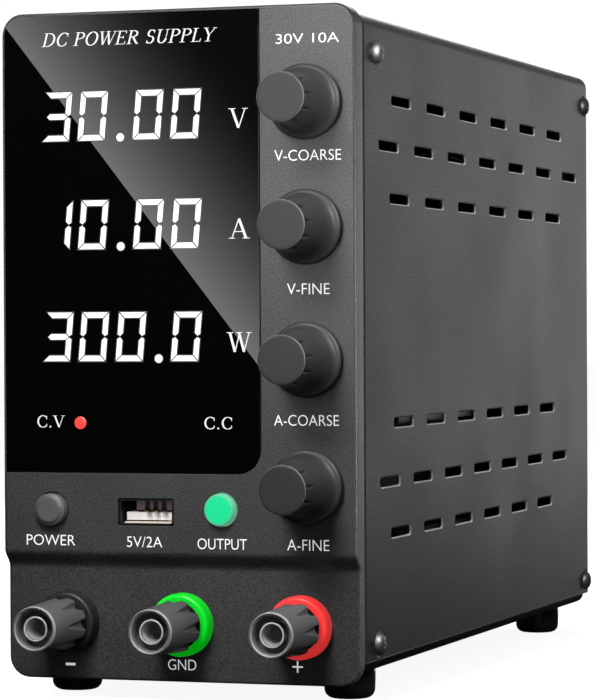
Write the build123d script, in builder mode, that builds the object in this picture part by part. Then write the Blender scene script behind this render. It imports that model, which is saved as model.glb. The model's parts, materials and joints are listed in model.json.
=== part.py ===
from build123d import *
import os
from math import cos, pi, sin, sqrt

# A compact switching bench power supply. +Z is up, the front faces -Y, lengths are millimetres.
# Depths named "..._Y" in the sections below count back from the bezel's upper front face.
# The origin is the middle of the whole object's box, at the bottom.

os.makedirs("parts", exist_ok=True)

# ---------------------------------------------------------------- driving dimensions
WIDTH = 86.0              # bezel and cover across X
BEZEL_HEIGHT = 154.0
BODY_DEPTH = 220.5        # bezel face to the cover's rear edge
BEZEL_LIFT = 4.5          # floor to the bezel's lower edge
TRAY_LIFT = 6.7           # floor to the tray's underside, which sits on the feet
FOOT_RADIUS = 6.0
SHEET = 1.0               # steel sheet
BOARD = 1.6               # circuit board
FIT = 0.1                 # gap between pieces that drop into each other
RUN = 0.05                # radial gap of a turning fit

BEZEL_DEPTH = 6.2
BEZEL_CORNER = 5.0
BEZEL_WALL = 2.0
BEZEL_FACE = 2.4
RECESS = 2.8              # how far the terminal section is set back
STEP_LOW_Z = 30.9
STEP_HIGH_Z = 33.9

LENS_INSET = 0.6
LENS_MARGIN = 22.8        # lens to the bezel's right edge
LENS_DROP = 106.0         # the lens's lower edge, below the bezel's top
LENS_CORNER = 5.5
LENS_THICKNESS = 1.2

DIGIT_SHIFT = -1.9        # digit blocks, from the lens's middle
DIGIT_DROPS = {"volts": 24.05, "amps": 49.05, "watts": 74.8}
DIGIT_WIDTH = 44.0
DIGIT_HEIGHT = 15.0
DIGIT_DEPTH = 7.0
LED_RADIUS = 1.5
LED_DROP = 94.6
LED_SHIFTS = {"cv": -12.3, "cc": 13.8}

KNOB_MARGIN = 11.6        # knob axes to the bezel's right edge
KNOB_DROPS = {"volts_coarse": 22.1, "volts_fine": 50.2, "amps_coarse": 80.0, "amps_fine": 108.7}
KNOB_REACH = 18.0
KNOB_SKIRT_RADIUS = 8.5
KNOB_NOSE_RADIUS = 5.6
KNOB_GROOVES = 10
SHAFT_RADIUS = 3.0
BUSHING_RADIUS = 3.5
BUSHING_REACH = 3.2
POT_RADIUS = 8.2
POT_DEPTH = 9.0
NUT_HEIGHT = 2.0

POWER_MARGIN = 12.2       # power button to the bezel's left edge
POWER_Z = 43.9
POWER_RADIUS = 3.75
POWER_REACH = 2.6
OUTPUT_CENTRE = (10.65, 44.3)
OUTPUT_RADIUS = 3.7
OUTPUT_REACH = 1.8
BUTTON_FLANGE = 1.0
BUTTON_LIP = 0.9
STEM_RADIUS = 1.4
SWITCH_SIDE = 8.0
USB_CENTRE = (-7.7, 43.5)
USB_INNER = (12.5, 5.12)
USB_SKIN = 0.3

POST_MARGINS = (15.4, 14.1)   # outer posts to the bezel's left and right edges
GROUND_X = 0.4
POST_Z = 17.8
POST_LENGTH = 21.7        # from the set-back face to the cap's front
COLLAR_RADIUS = 7.25
COLLAR_THICKNESS = 3.7
STUD_RADIUS = 2.9
COLLAR_BUSH_RADIUS = STUD_RADIUS + 1.1
SOCKET_RADIUS = 2.0       # 4 mm banana plug
SOCKET_DEPTH = 18.0
CAP_BASE_RADIUS = 6.0
CAP_NOSE_RADIUS = 5.1
CAP_FLUTES = 8
CLAMP_THICKNESS = 0.8
CLAMP_RADIUS = STUD_RADIUS + 2.5

COVER_DROP = 1.5          # cover below the bezel's top
COVER_BOTTOM_Z = 9.3
COVER_BEND = 3.5
COVER_GAP = 0.4           # bezel to cover
TRAY_SIDE = 12.8
TRAY_BEND = 2.5
TRAY_GAP = 0.15           # cover to tray
SCREW_FRONT_Y = 16.5
SCREW_REAR_MARGIN = 5.0   # screw centre to the cover's rear edge
SCREW_DROP = 8.6          # upper screws below the cover's top
SCREW_LOW_Z = 13.1
SCREW_RADIUS = 1.45
SCREW_HEAD_RADIUS = 2.65
SCREW_HEAD = 1.5
SCREW_LENGTH = 5.0
VENT_LENGTH = 16.0
VENT_HEIGHT = 2.2
VENT_REAR_MARGIN = 22.0   # last slot's centre to the cover's rear edge, at least
# rows of side vents: distance from the cover's top or from the floor, first slot's centre,
# the most that its slots may be apart, number of slots
UPPER_VENTS = [(18.8, 36.0, 29.0, 6), (29.6, 25.8, 28.7, 7), (41.6, 34.4, 29.0, 6)]
LOWER_VENTS = [(63.4, 37.0, 27.1, 6), (49.9, 26.0, 26.7, 7), (37.9, 34.4, 27.0, 6)]

FAN_SIDE = 60.0
FAN_DEPTH = 15.0
FAN_WALL = 1.5            # fan bore to the frame's side
FAN_HOLE_INSET = 5.0
FAN_DROP = 50.5           # fan axis below the cover's top
BLADE_GAP = 1.2
HUB_RADIUS = 13.0
BLADES = 7
GUARD_WIRE = 0.8
FAN_SCREW_HEAD = 1.8
INLET_CENTRE = (-17.0, 40.5)
INLET_FLANGE = (31.0, 25.0, 2.0)
INLET_BODY = (27.0, 20.0, 20.0)
INLET_CAVITY = (24.2, 16.4)
INLET_FLOOR = 4.0
INLET_PINS = [(-7.0, -2.0), (0.0, 2.0), (7.0, -2.0)]
PIN_SIZE = (2.0, 4.0)
SELECTOR_CENTRE = (21.0, 40.5)
SELECTOR_SLOT = (10.4, 4.4)
SELECTOR_TRAVEL = 5.0

MAIN_BOARD_Z = 13.5
MAIN_BOARD_FRONT_Y = 44.0
MAIN_BOARD_REAR_MARGIN = 30.0
MAIN_BOARD_GAP = 5.9      # board's edge to the tray's side
LEAD_RADIUS = 1.1

# ---------------------------------------------------------------- worked-out places
PLATE_Y = BEZEL_DEPTH                        # front of the steel front plate
PLATE_BACK_Y = PLATE_Y + SHEET
PANEL_BACK_Y = BODY_DEPTH - 1.1              # outer face of the rear panel
PANEL_Y = PANEL_BACK_Y - SHEET
GUARD_BACK_Y = PANEL_BACK_Y + 2 * GUARD_WIRE
REAR_LIMIT_Y = GUARD_BACK_Y + FAN_SCREW_HEAD
FRONT_LIMIT_Y = RECESS - POST_LENGTH
FRONT_Y = -(FRONT_LIMIT_Y + REAR_LIMIT_Y) / 2    # the bezel's upper face in the part's frame

BEZEL_TOP_Z = BEZEL_LIFT + BEZEL_HEIGHT
BEZEL_MID_Z = BEZEL_LIFT + BEZEL_HEIGHT / 2
COVER_TOP_Z = BEZEL_TOP_Z - COVER_DROP
SCREW_TOP_Z = COVER_TOP_Z - SCREW_DROP
LENS_RIGHT_X = WIDTH / 2 - LENS_MARGIN
LENS_BOTTOM_Z = BEZEL_TOP_Z - LENS_DROP
LENS_MID_X = (LENS_RIGHT_X - WIDTH / 2) / 2
DIGIT_X = LENS_MID_X + DIGIT_SHIFT
DIGIT_ROWS = {name: BEZEL_TOP_Z - drop for name, drop in DIGIT_DROPS.items()}
LED_CENTRES = {name: (LENS_MID_X + shift, BEZEL_TOP_Z - LED_DROP) for name, shift in LED_SHIFTS.items()}
KNOB_X = WIDTH / 2 - KNOB_MARGIN
KNOB_ROWS = {name: BEZEL_TOP_Z - drop for name, drop in KNOB_DROPS.items()}
POWER_CENTRE = (POWER_MARGIN - WIDTH / 2, POWER_Z)
POSTS = {"negative": POST_MARGINS[0] - WIDTH / 2, "ground": GROUND_X,
         "positive": WIDTH / 2 - POST_MARGINS[1]}
FAN_BORE_RADIUS = FAN_SIDE / 2 - FAN_WALL
ROTOR_RADIUS = FAN_BORE_RADIUS - BLADE_GAP
FAN_HOLE_SPACING = FAN_SIDE - 2 * FAN_HOLE_INSET
FAN_Z = COVER_TOP_Z - FAN_DROP
COVER_INNER_X = WIDTH / 2 - SHEET
TRAY_X = COVER_INNER_X - TRAY_GAP
FLANGE_X = TRAY_X - SHEET - FIT              # outer face of the plates' side flanges
LIP_TOP_Z = BEZEL_LIFT + 7.0                # tray's low front and rear lips
PLATE_BOTTOM_Z = LIP_TOP_Z + 0.6
PLATE_TOP_Z = BEZEL_TOP_Z - BEZEL_WALL - 3.0
FLANGE_LENGTH = 19.0
DIGIT_Y = LENS_THICKNESS + 0.2
DISPLAY_BOARD_Y = DIGIT_Y + DIGIT_DEPTH
SWITCH_Y = PLATE_BACK_Y + 1.2
CONTROL_BOARD_Y = PLATE_BACK_Y + POT_DEPTH + 1.2
SCREW_REAR_Y = BODY_DEPTH - SCREW_REAR_MARGIN
FAN_Y = PANEL_Y - FAN_DEPTH
BEZEL_SCREWS = [(side * (WIDTH / 2 - 5.5), z) for side in (-1, 1) for z in (27.0, BEZEL_TOP_Z - 9.5)]
BEZEL_SCREW_RADIUS = 1.0
FEET = [(side * (WIDTH / 2 - 9.0), y) for side in (-1, 1) for y in (22.4, BODY_DEPTH - 25.5)]
VENT_ROWS = [(COVER_TOP_Z - drop, *row) for drop, *row in UPPER_VENTS] + LOWER_VENTS
SIDE_SCREWS = [(y, z) for y in (SCREW_FRONT_Y, SCREW_REAR_Y) for z in (SCREW_LOW_Z, SCREW_TOP_Z)]
FAN_CORNERS = [(x * FAN_HOLE_SPACING / 2, FAN_Z + z * FAN_HOLE_SPACING / 2)
               for x in (-1, 1) for z in (-1, 1)]
KNOB_CENTRES = [(KNOB_X, z) for z in KNOB_ROWS.values()]
POST_CENTRES = [(x, POST_Z) for x in POSTS.values()]


def front_plane(y):
    """Plane square to Y at a depth behind the bezel's face, with its normal to the front."""
    return Plane.XZ.offset(-(FRONT_Y + y))


def spindle(x, z):
    """Plane through an axis that runs front to back: local x is the radius, local y the depth."""
    return Plane(origin=(x, FRONT_Y, z), x_dir=(1, 0, 0), z_dir=(0, 0, 1))


def spindle_axis(x, z):
    return Axis((x, FRONT_Y, z), (0, 1, 0))


def side_plane(side, x, y, z):
    """Plane on a side wall at (y, z), with its normal outwards; side is -1 on the left."""
    return Plane(origin=(side * x, FRONT_Y + y, z), x_dir=(0, 1, 0), z_dir=(side, 0, 0))


def rectangle_between(x1, x2, z1, z2):
    with Locations(((x1 + x2) / 2, (z1 + z2) / 2)):
        Rectangle(x2 - x1, z2 - z1)


def lens_outline(gap):
    """The lens's outline, grown by a gap: one corner follows the bezel's, one is rounded."""
    left, right = -WIDTH / 2 + LENS_INSET - gap, LENS_RIGHT_X + gap
    low, high = LENS_BOTTOM_Z - gap, BEZEL_TOP_Z - LENS_INSET + gap
    with BuildSketch(mode=Mode.PRIVATE) as outline:
        rectangle_between(left, right, low, high)
        upper_left = outline.vertices().sort_by(Axis.X)[:2].sort_by(Axis.Y)[-1]
        fillet(upper_left, BEZEL_CORNER - LENS_INSET + gap)
        lower_right = outline.vertices().sort_by(Axis.X)[-2:].sort_by(Axis.Y)[0]
        fillet(lower_right, LENS_CORNER + gap)
    return outline.sketch


def windows(gap):
    """Openings for the three digit blocks."""
    with Locations(*[(DIGIT_X, z) for z in DIGIT_ROWS.values()]):
        Rectangle(DIGIT_WIDTH + 2 * gap, DIGIT_HEIGHT + 2 * gap)


def usb_cutout():
    with Locations(USB_CENTRE):
        Rectangle(USB_INNER[0] + 2 * USB_SKIN + 4 * FIT, USB_INNER[1] + 2 * USB_SKIN + 4 * FIT)


def pan_screw(plane, head_radius, head, shank_radius, length):
    """A cross-recessed pan-head screw; the plane is the surface under its head."""
    with BuildPart(mode=Mode.PRIVATE) as screw:
        with BuildSketch(plane):
            Circle(head_radius)
        extrude(amount=head)
        fillet(screw.faces().sort_by(Axis(plane.origin, plane.z_dir))[-1].edges(), head * 0.6)
        with BuildSketch(plane):
            Circle(shank_radius)
        extrude(amount=-length)
        with BuildSketch(plane.offset(head)):
            Rectangle(head_radius * 1.1, head_radius * 0.26)
            Rectangle(head_radius * 0.26, head_radius * 1.1)
        extrude(amount=-head * 0.6, mode=Mode.SUBTRACT)
    return screw.part


# ---------------------------------------------------------------- front bezel and lens
with BuildPart() as front_bezel:
    with BuildSketch(front_plane(0)):
        with Locations((0, BEZEL_MID_Z)):
            RectangleRounded(WIDTH, BEZEL_HEIGHT, BEZEL_CORNER)
    extrude(amount=-BEZEL_DEPTH)
    # the terminal section steps back along a short slope
    with BuildSketch(Plane.YZ):
        with BuildLine():
            Polyline((FRONT_Y - 1, BEZEL_LIFT - 1), (FRONT_Y + RECESS, BEZEL_LIFT - 1),
                     (FRONT_Y + RECESS, STEP_LOW_Z), (FRONT_Y, STEP_HIGH_Z),
                     (FRONT_Y - 1, STEP_HIGH_Z), close=True)
        make_face()
    extrude(amount=WIDTH, both=True, mode=Mode.SUBTRACT)
    # hollow behind both sections
    with BuildSketch(front_plane(BEZEL_DEPTH)):
        with Locations((0, BEZEL_MID_Z)):
            RectangleRounded(WIDTH - 2 * BEZEL_WALL, BEZEL_HEIGHT - 2 * BEZEL_WALL,
                             BEZEL_CORNER - BEZEL_WALL)
    extrude(amount=BEZEL_DEPTH - RECESS - BEZEL_FACE, mode=Mode.SUBTRACT)
    with BuildSketch(front_plane(BEZEL_DEPTH)):
        rectangle_between(-WIDTH / 2 + BEZEL_WALL, WIDTH / 2 - BEZEL_WALL,
                          STEP_HIGH_Z + 1, BEZEL_TOP_Z - BEZEL_WALL - 1)
    extrude(amount=BEZEL_DEPTH - BEZEL_FACE, mode=Mode.SUBTRACT)
    # bosses that take the control bushings and the bezel's own screws
    with BuildSketch(front_plane(BEZEL_FACE)):
        with Locations(*KNOB_CENTRES):
            Circle(BUSHING_RADIUS + 2)
        with Locations(*[centre for centre in BEZEL_SCREWS if centre[1] > STEP_HIGH_Z]):
            Circle(BEZEL_SCREW_RADIUS + 1.5)
    extrude(amount=-(BEZEL_DEPTH - BEZEL_FACE))
    with BuildSketch(front_plane(RECESS + BEZEL_FACE)):
        with Locations(*[centre for centre in BEZEL_SCREWS if centre[1] < STEP_HIGH_Z]):
            Circle(BEZEL_SCREW_RADIUS + 1.5)
    extrude(amount=-(BEZEL_DEPTH - RECESS - BEZEL_FACE))
    with BuildSketch(front_plane(BEZEL_DEPTH)):
        with Locations(*BEZEL_SCREWS):
            Circle(BEZEL_SCREW_RADIUS + RUN)
    extrude(amount=2.6, mode=Mode.SUBTRACT)
    # seat for the lens
    with BuildSketch(front_plane(0)):
        add(lens_outline(FIT))
    extrude(amount=-LENS_THICKNESS, mode=Mode.SUBTRACT)
    # everything that passes through the face
    with BuildSketch(front_plane(BEZEL_DEPTH)):
        windows(2 * FIT)
        usb_cutout()
        with Locations(*LED_CENTRES.values()):
            Circle(LED_RADIUS + FIT)
        with Locations(*KNOB_CENTRES):
            Circle(BUSHING_RADIUS + FIT)
        with Locations(POWER_CENTRE):
            Circle(POWER_RADIUS + 2 * FIT)
        with Locations(OUTPUT_CENTRE):
            Circle(OUTPUT_RADIUS + 2 * FIT)
        with Locations(*POST_CENTRES):
            Circle(COLLAR_BUSH_RADIUS + FIT)
    extrude(amount=BEZEL_DEPTH + 1, mode=Mode.SUBTRACT)
front_bezel.part.label = "front_bezel"
export_step(front_bezel.part, "parts/front_bezel.step")

with BuildPart() as display_lens:
    with BuildSketch(front_plane(0)):
        add(lens_outline(0))
    extrude(amount=-(LENS_THICKNESS - RUN))
display_lens.part.label = "display_lens"
export_step(display_lens.part, "parts/display_lens.step")

# ---------------------------------------------------------------- sheet-metal structure
with BuildPart() as front_plate:
    with BuildSketch(front_plane(PLATE_Y)):
        rectangle_between(-FLANGE_X, FLANGE_X, PLATE_BOTTOM_Z, PLATE_TOP_Z)
        with Locations(*KNOB_CENTRES):
            Circle(BUSHING_RADIUS + FIT, mode=Mode.SUBTRACT)
        with Locations(*POST_CENTRES):
            Circle(COLLAR_BUSH_RADIUS + FIT, mode=Mode.SUBTRACT)
        with Locations(POWER_CENTRE, OUTPUT_CENTRE):
            Circle(OUTPUT_RADIUS + BUTTON_LIP + 0.5, mode=Mode.SUBTRACT)
        with Locations(*LED_CENTRES.values()):
            Circle(LED_RADIUS + 0.8, mode=Mode.SUBTRACT)
        with Locations(*BEZEL_SCREWS):
            Circle(BEZEL_SCREW_RADIUS + FIT, mode=Mode.SUBTRACT)
        with BuildSketch(mode=Mode.PRIVATE) as cutouts:
            windows(2 * FIT)
            usb_cutout()
        add(cutouts.sketch, mode=Mode.SUBTRACT)
    extrude(amount=-SHEET)
    for side in (-1, 1):
        with BuildSketch(front_plane(PLATE_Y)):
            rectangle_between(*sorted((side * FLANGE_X, side * (FLANGE_X - SHEET))),
                              TRAY_LIFT + SHEET + 1.2, PLATE_TOP_Z)
        extrude(amount=-FLANGE_LENGTH)
        for z in (SCREW_LOW_Z, SCREW_TOP_Z):
            with BuildSketch(side_plane(side, FLANGE_X + 1, SCREW_FRONT_Y, z)):
                Circle(SCREW_RADIUS + RUN)
            extrude(amount=-(SHEET + 2), mode=Mode.SUBTRACT)
    # the flanges start above and behind the tray's front lip
    with BuildSketch(front_plane(PLATE_Y)):
        rectangle_between(-FLANGE_X, FLANGE_X, BEZEL_LIFT, PLATE_BOTTOM_Z)
    extrude(amount=-(SHEET + 0.8), mode=Mode.SUBTRACT)
front_plate.part.label = "front_plate"
export_step(front_plate.part, "parts/front_plate.step")

TRAY_FRONT_Y = BEZEL_DEPTH + FIT
TRAY_LENGTH = PANEL_BACK_Y - TRAY_FRONT_Y
with BuildPart() as chassis_base:
    with BuildSketch(Plane.XY.offset(TRAY_LIFT)):
        with Locations((0, FRONT_Y + TRAY_FRONT_Y + TRAY_LENGTH / 2)):
            Rectangle(2 * TRAY_X, TRAY_LENGTH)
    extrude(amount=TRAY_SIDE)
    bottom_edges = chassis_base.faces().sort_by(Axis.Z)[0].edges()
    fillet(bottom_edges, TRAY_BEND)
    offset(amount=-SHEET, openings=chassis_base.faces().sort_by(Axis.Z)[-1])
    # the front and rear lips are lower than the sides
    with BuildSketch(Plane.XY.offset(LIP_TOP_Z)):
        with Locations((0, FRONT_Y + TRAY_FRONT_Y), (0, FRONT_Y + PANEL_BACK_Y)):
            Rectangle(2 * TRAY_X + 2, 2 * (SHEET + 0.5))
    extrude(amount=TRAY_SIDE, mode=Mode.SUBTRACT)
    with BuildSketch(Plane.XY):
        with Locations(*[(x, FRONT_Y + y) for x, y in FEET]):
            Circle(1.6)
    extrude(amount=TRAY_LIFT + 2 * SHEET, mode=Mode.SUBTRACT)
    for y in (SCREW_FRONT_Y, SCREW_REAR_Y):
        with BuildSketch(side_plane(1, TRAY_X + 1, y, SCREW_LOW_Z)):
            Circle(SCREW_RADIUS + FIT)
        extrude(amount=-(2 * TRAY_X + 2), mode=Mode.SUBTRACT)
chassis_base.part.label = "chassis_base"
export_step(chassis_base.part, "parts/chassis_base.step")

COVER_FRONT_Y = BEZEL_DEPTH + COVER_GAP
with BuildPart() as top_cover:
    with BuildSketch(front_plane(COVER_FRONT_Y)):
        with BuildLine():
            FilletPolyline((-WIDTH / 2, COVER_BOTTOM_Z), (-WIDTH / 2, COVER_TOP_Z),
                           (WIDTH / 2, COVER_TOP_Z), (WIDTH / 2, COVER_BOTTOM_Z), radius=COVER_BEND)
            Line((WIDTH / 2, COVER_BOTTOM_Z), (COVER_INNER_X, COVER_BOTTOM_Z))
            FilletPolyline((COVER_INNER_X, COVER_BOTTOM_Z), (COVER_INNER_X, COVER_TOP_Z - SHEET),
                           (-COVER_INNER_X, COVER_TOP_Z - SHEET), (-COVER_INNER_X, COVER_BOTTOM_Z),
                           radius=COVER_BEND - SHEET)
            Line((-COVER_INNER_X, COVER_BOTTOM_Z), (-WIDTH / 2, COVER_BOTTOM_Z))
        make_face()
    extrude(amount=-(BODY_DEPTH - COVER_FRONT_Y))
    # vents and screw holes, the same on both sides
    with BuildSketch(side_plane(1, WIDTH / 2 + 1, 0, 0)):
        for row_z, first_y, widest, count in VENT_ROWS:
            spacing = min(widest, (BODY_DEPTH - VENT_REAR_MARGIN - first_y) / (count - 1))
            with Locations(*[(first_y + spacing * i, row_z) for i in range(count)]):
                RectangleRounded(VENT_LENGTH, VENT_HEIGHT, 0.5)
        with Locations(*SIDE_SCREWS):
            Circle(SCREW_RADIUS + FIT)
    extrude(amount=-(WIDTH + 2), mode=Mode.SUBTRACT)
top_cover.part.label = "top_cover"
export_step(top_cover.part, "parts/top_cover.step")

with BuildPart() as rear_panel:
    with BuildSketch(front_plane(PANEL_Y)):
        rectangle_between(-FLANGE_X, FLANGE_X, PLATE_BOTTOM_Z, PLATE_TOP_Z)
        with Locations((0, FAN_Z)):
            Circle(FAN_BORE_RADIUS, mode=Mode.SUBTRACT)
        with Locations(*FAN_CORNERS):
            Circle(2.2, mode=Mode.SUBTRACT)
        with Locations(INLET_CENTRE):
            Rectangle(INLET_BODY[0] + 2 * FIT, INLET_BODY[1] + 2 * FIT, mode=Mode.SUBTRACT)
        with Locations(SELECTOR_CENTRE):
            Rectangle(SELECTOR_SLOT[0] + 8, SELECTOR_SLOT[1] + 6, mode=Mode.SUBTRACT)
    extrude(amount=-SHEET)
    for side in (-1, 1):
        with BuildSketch(front_plane(PANEL_BACK_Y)):
            rectangle_between(*sorted((side * FLANGE_X, side * (FLANGE_X - SHEET))),
                              TRAY_LIFT + SHEET + 1.2, PLATE_TOP_Z)
        extrude(amount=FLANGE_LENGTH)
        for z in (SCREW_LOW_Z, SCREW_TOP_Z):
            with BuildSketch(side_plane(side, FLANGE_X + 1, SCREW_REAR_Y, z)):
                Circle(SCREW_RADIUS + RUN)
            extrude(amount=-(SHEET + 2), mode=Mode.SUBTRACT)
    with BuildSketch(front_plane(PANEL_BACK_Y)):
        rectangle_between(-FLANGE_X, FLANGE_X, BEZEL_LIFT, PLATE_BOTTOM_Z)
    extrude(amount=SHEET + 0.8, mode=Mode.SUBTRACT)
rear_panel.part.label = "rear_panel"
export_step(rear_panel.part, "parts/rear_panel.step")

# ---------------------------------------------------------------- fasteners and feet
with BuildPart() as cover_screws:
    for side in (-1, 1):
        for y, z in SIDE_SCREWS:
            add(pan_screw(side_plane(side, WIDTH / 2, y, z), SCREW_HEAD_RADIUS, SCREW_HEAD,
                          SCREW_RADIUS, SCREW_LENGTH))
cover_screws.part.label = "cover_screws"
export_step(cover_screws.part, "parts/cover_screws.step")

with BuildPart() as bezel_screws:
    for x, z in BEZEL_SCREWS:
        under_head = Plane(origin=(x, FRONT_Y + PLATE_BACK_Y, z), x_dir=(1, 0, 0), z_dir=(0, 1, 0))
        add(pan_screw(under_head, 2.2, 1.4, BEZEL_SCREW_RADIUS, SHEET + 2.4))
bezel_screws.part.label = "bezel_screws"
export_step(bezel_screws.part, "parts/bezel_screws.step")

FOOT_SEAT_Z = 2.8          # where the screw's head sits in the foot
with BuildPart() as rubber_feet:
    with BuildSketch(Plane.XY):
        with Locations(*[(x, FRONT_Y + y) for x, y in FEET]):
            Circle(FOOT_RADIUS)
    extrude(amount=TRAY_LIFT)
    fillet(rubber_feet.faces().filter_by(Axis.Z).group_by(Axis.Z)[0].edges(), 2.0)
    with BuildSketch(Plane.XY):
        with Locations(*[(x, FRONT_Y + y) for x, y in FEET]):
            Circle(3.2)
    extrude(amount=FOOT_SEAT_Z, mode=Mode.SUBTRACT)
    with BuildSketch(Plane.XY):
        with Locations(*[(x, FRONT_Y + y) for x, y in FEET]):
            Circle(1.6)
    extrude(amount=TRAY_LIFT, mode=Mode.SUBTRACT)
rubber_feet.part.label = "rubber_feet"
export_step(rubber_feet.part, "parts/rubber_feet.step")

with BuildPart() as foot_screws:
    for x, y in FEET:
        under_head = Plane(origin=(x, FRONT_Y + y, FOOT_SEAT_Z), x_dir=(1, 0, 0), z_dir=(0, 0, -1))
        add(pan_screw(under_head, 2.8, 1.6, 1.5, TRAY_LIFT - FOOT_SEAT_Z + SHEET + 2))
foot_screws.part.label = "foot_screws"
export_step(foot_screws.part, "parts/foot_screws.step")

# ---------------------------------------------------------------- displays
for name, z in DIGIT_ROWS.items():
    with BuildPart() as digits:
        with BuildSketch(front_plane(DIGIT_Y)):
            with Locations((DIGIT_X, z)):
                Rectangle(DIGIT_WIDTH, DIGIT_HEIGHT)
        extrude(amount=-DIGIT_DEPTH)
        chamfer(digits.faces().sort_by(Axis.Y)[0].edges(), 0.3)
    digits.part.label = f"{name}_display"
    export_step(digits.part, f"parts/{name}_display.step")

for name, (x, z) in LED_CENTRES.items():
    with BuildPart() as led:
        dome_y = LENS_THICKNESS + 0.2
        flange_y = DISPLAY_BOARD_Y - 2.6
        with BuildSketch(spindle(x, z)):
            with BuildLine():
                Polyline((0, dome_y + 1), (0, flange_y + 1), (LED_RADIUS + 0.35, flange_y + 1),
                         (LED_RADIUS + 0.35, flange_y), (LED_RADIUS, flange_y),
                         (LED_RADIUS, dome_y + LED_RADIUS))
                RadiusArc((LED_RADIUS, dome_y + LED_RADIUS), (0, dome_y), LED_RADIUS)
                Line((0, dome_y), (0, dome_y + 1))
            make_face()
        revolve(axis=spindle_axis(x, z))
        with BuildSketch(front_plane(flange_y + 1)):
            with Locations((x - 0.9, z), (x + 0.9, z)):
                Rectangle(0.5, 0.5)
        extrude(amount=-(DISPLAY_BOARD_Y - flange_y - 1))
    led.part.label = f"{name}_led"
    export_step(led.part, f"parts/{name}_led.step")

with BuildPart() as display_board:
    with BuildSketch(front_plane(DISPLAY_BOARD_Y)):
        rectangle_between(-FLANGE_X + SHEET + 1, KNOB_X - POT_RADIUS - 3,
                          LENS_BOTTOM_Z + 4, PLATE_TOP_Z - 9)
    extrude(amount=-BOARD)
display_board.part.label = "display_board"
export_step(display_board.part, "parts/display_board.step")

# ---------------------------------------------------------------- rotary controls
POT_BORE_Y = PLATE_BACK_Y + POT_DEPTH - 3.0
SHAFT_TIP_Y = -(KNOB_REACH - 3.0)
KNOB_GAP = 0.5
KNOB_HOLLOW_Y = -(BUSHING_REACH + 0.4)

with BuildPart() as potentiometers:
    with BuildSketch(front_plane(PLATE_BACK_Y)):
        with Locations(*KNOB_CENTRES):
            Circle(POT_RADIUS)
    extrude(amount=-POT_DEPTH)
    with BuildSketch(front_plane(PLATE_BACK_Y)):
        with Locations(*KNOB_CENTRES):
            Circle(BUSHING_RADIUS)
    extrude(amount=PLATE_BACK_Y + BUSHING_REACH)
    with BuildSketch(front_plane(POT_BORE_Y)):
        with Locations(*KNOB_CENTRES):
            Circle(SHAFT_RADIUS + RUN)
    extrude(amount=POT_BORE_Y + BUSHING_REACH, mode=Mode.SUBTRACT)
potentiometers.part.label = "potentiometers"
export_step(potentiometers.part, "parts/potentiometers.step")

with BuildPart() as potentiometer_nuts:
    with BuildSketch(front_plane(0)):
        with Locations(*KNOB_CENTRES):
            RegularPolygon(BUSHING_RADIUS + 1.5, 6, major_radius=False)
        with Locations(*KNOB_CENTRES):
            Circle(BUSHING_RADIUS + RUN, mode=Mode.SUBTRACT)
    extrude(amount=NUT_HEIGHT)
potentiometer_nuts.part.label = "potentiometer_nuts"
export_step(potentiometer_nuts.part, "parts/potentiometer_nuts.step")

for name, z in KNOB_ROWS.items():
    with BuildPart() as shaft:
        with BuildSketch(front_plane(POT_BORE_Y - 0.3)):
            with Locations((KNOB_X, z)):
                Circle(SHAFT_RADIUS)
        extrude(amount=POT_BORE_Y - 0.3 - SHAFT_TIP_Y)
        chamfer(shaft.faces().sort_by(Axis.Y)[0].edges(), 0.5)
    shaft.part.label = f"{name}_shaft"
    export_step(shaft.part, f"parts/{name}_shaft.step")

    with BuildPart() as knob:
        waist = KNOB_NOSE_RADIUS + 0.8
        with BuildSketch(spindle(KNOB_X, z)):
            with BuildLine():
                Line((0, -KNOB_REACH), (KNOB_NOSE_RADIUS, -KNOB_REACH))
                Line((KNOB_NOSE_RADIUS, -KNOB_REACH), (KNOB_NOSE_RADIUS + 0.3, -KNOB_REACH + 0.4))
                Line((KNOB_NOSE_RADIUS + 0.3, -KNOB_REACH + 0.4), (waist, -KNOB_GAP - 4.2))
                RadiusArc((waist, -KNOB_GAP - 4.2), (KNOB_SKIRT_RADIUS, -KNOB_GAP - 1.1), -5.0)
                Polyline((KNOB_SKIRT_RADIUS, -KNOB_GAP - 1.1), (KNOB_SKIRT_RADIUS, -KNOB_GAP),
                         (BUSHING_RADIUS + 2.8, -KNOB_GAP), (BUSHING_RADIUS + 2.8, KNOB_HOLLOW_Y),
                         (SHAFT_RADIUS + RUN / 2, KNOB_HOLLOW_Y),
                         (SHAFT_RADIUS + RUN / 2, SHAFT_TIP_Y - 0.2), (0, SHAFT_TIP_Y - 0.2),
                         (0, -KNOB_REACH))
            make_face()
        revolve(axis=spindle_axis(KNOB_X, z))
        # grip grooves around the nose
        with BuildSketch(front_plane(-KNOB_REACH)):
            with Locations((KNOB_X, z)):
                with PolarLocations(KNOB_NOSE_RADIUS + 0.5, KNOB_GROOVES, start_angle=8):
                    Rectangle(1.4, 0.9)
        extrude(amount=-5.0, mode=Mode.SUBTRACT)
    knob.part.label = f"{name}_knob"
    export_step(knob.part, f"parts/{name}_knob.step")

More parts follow.
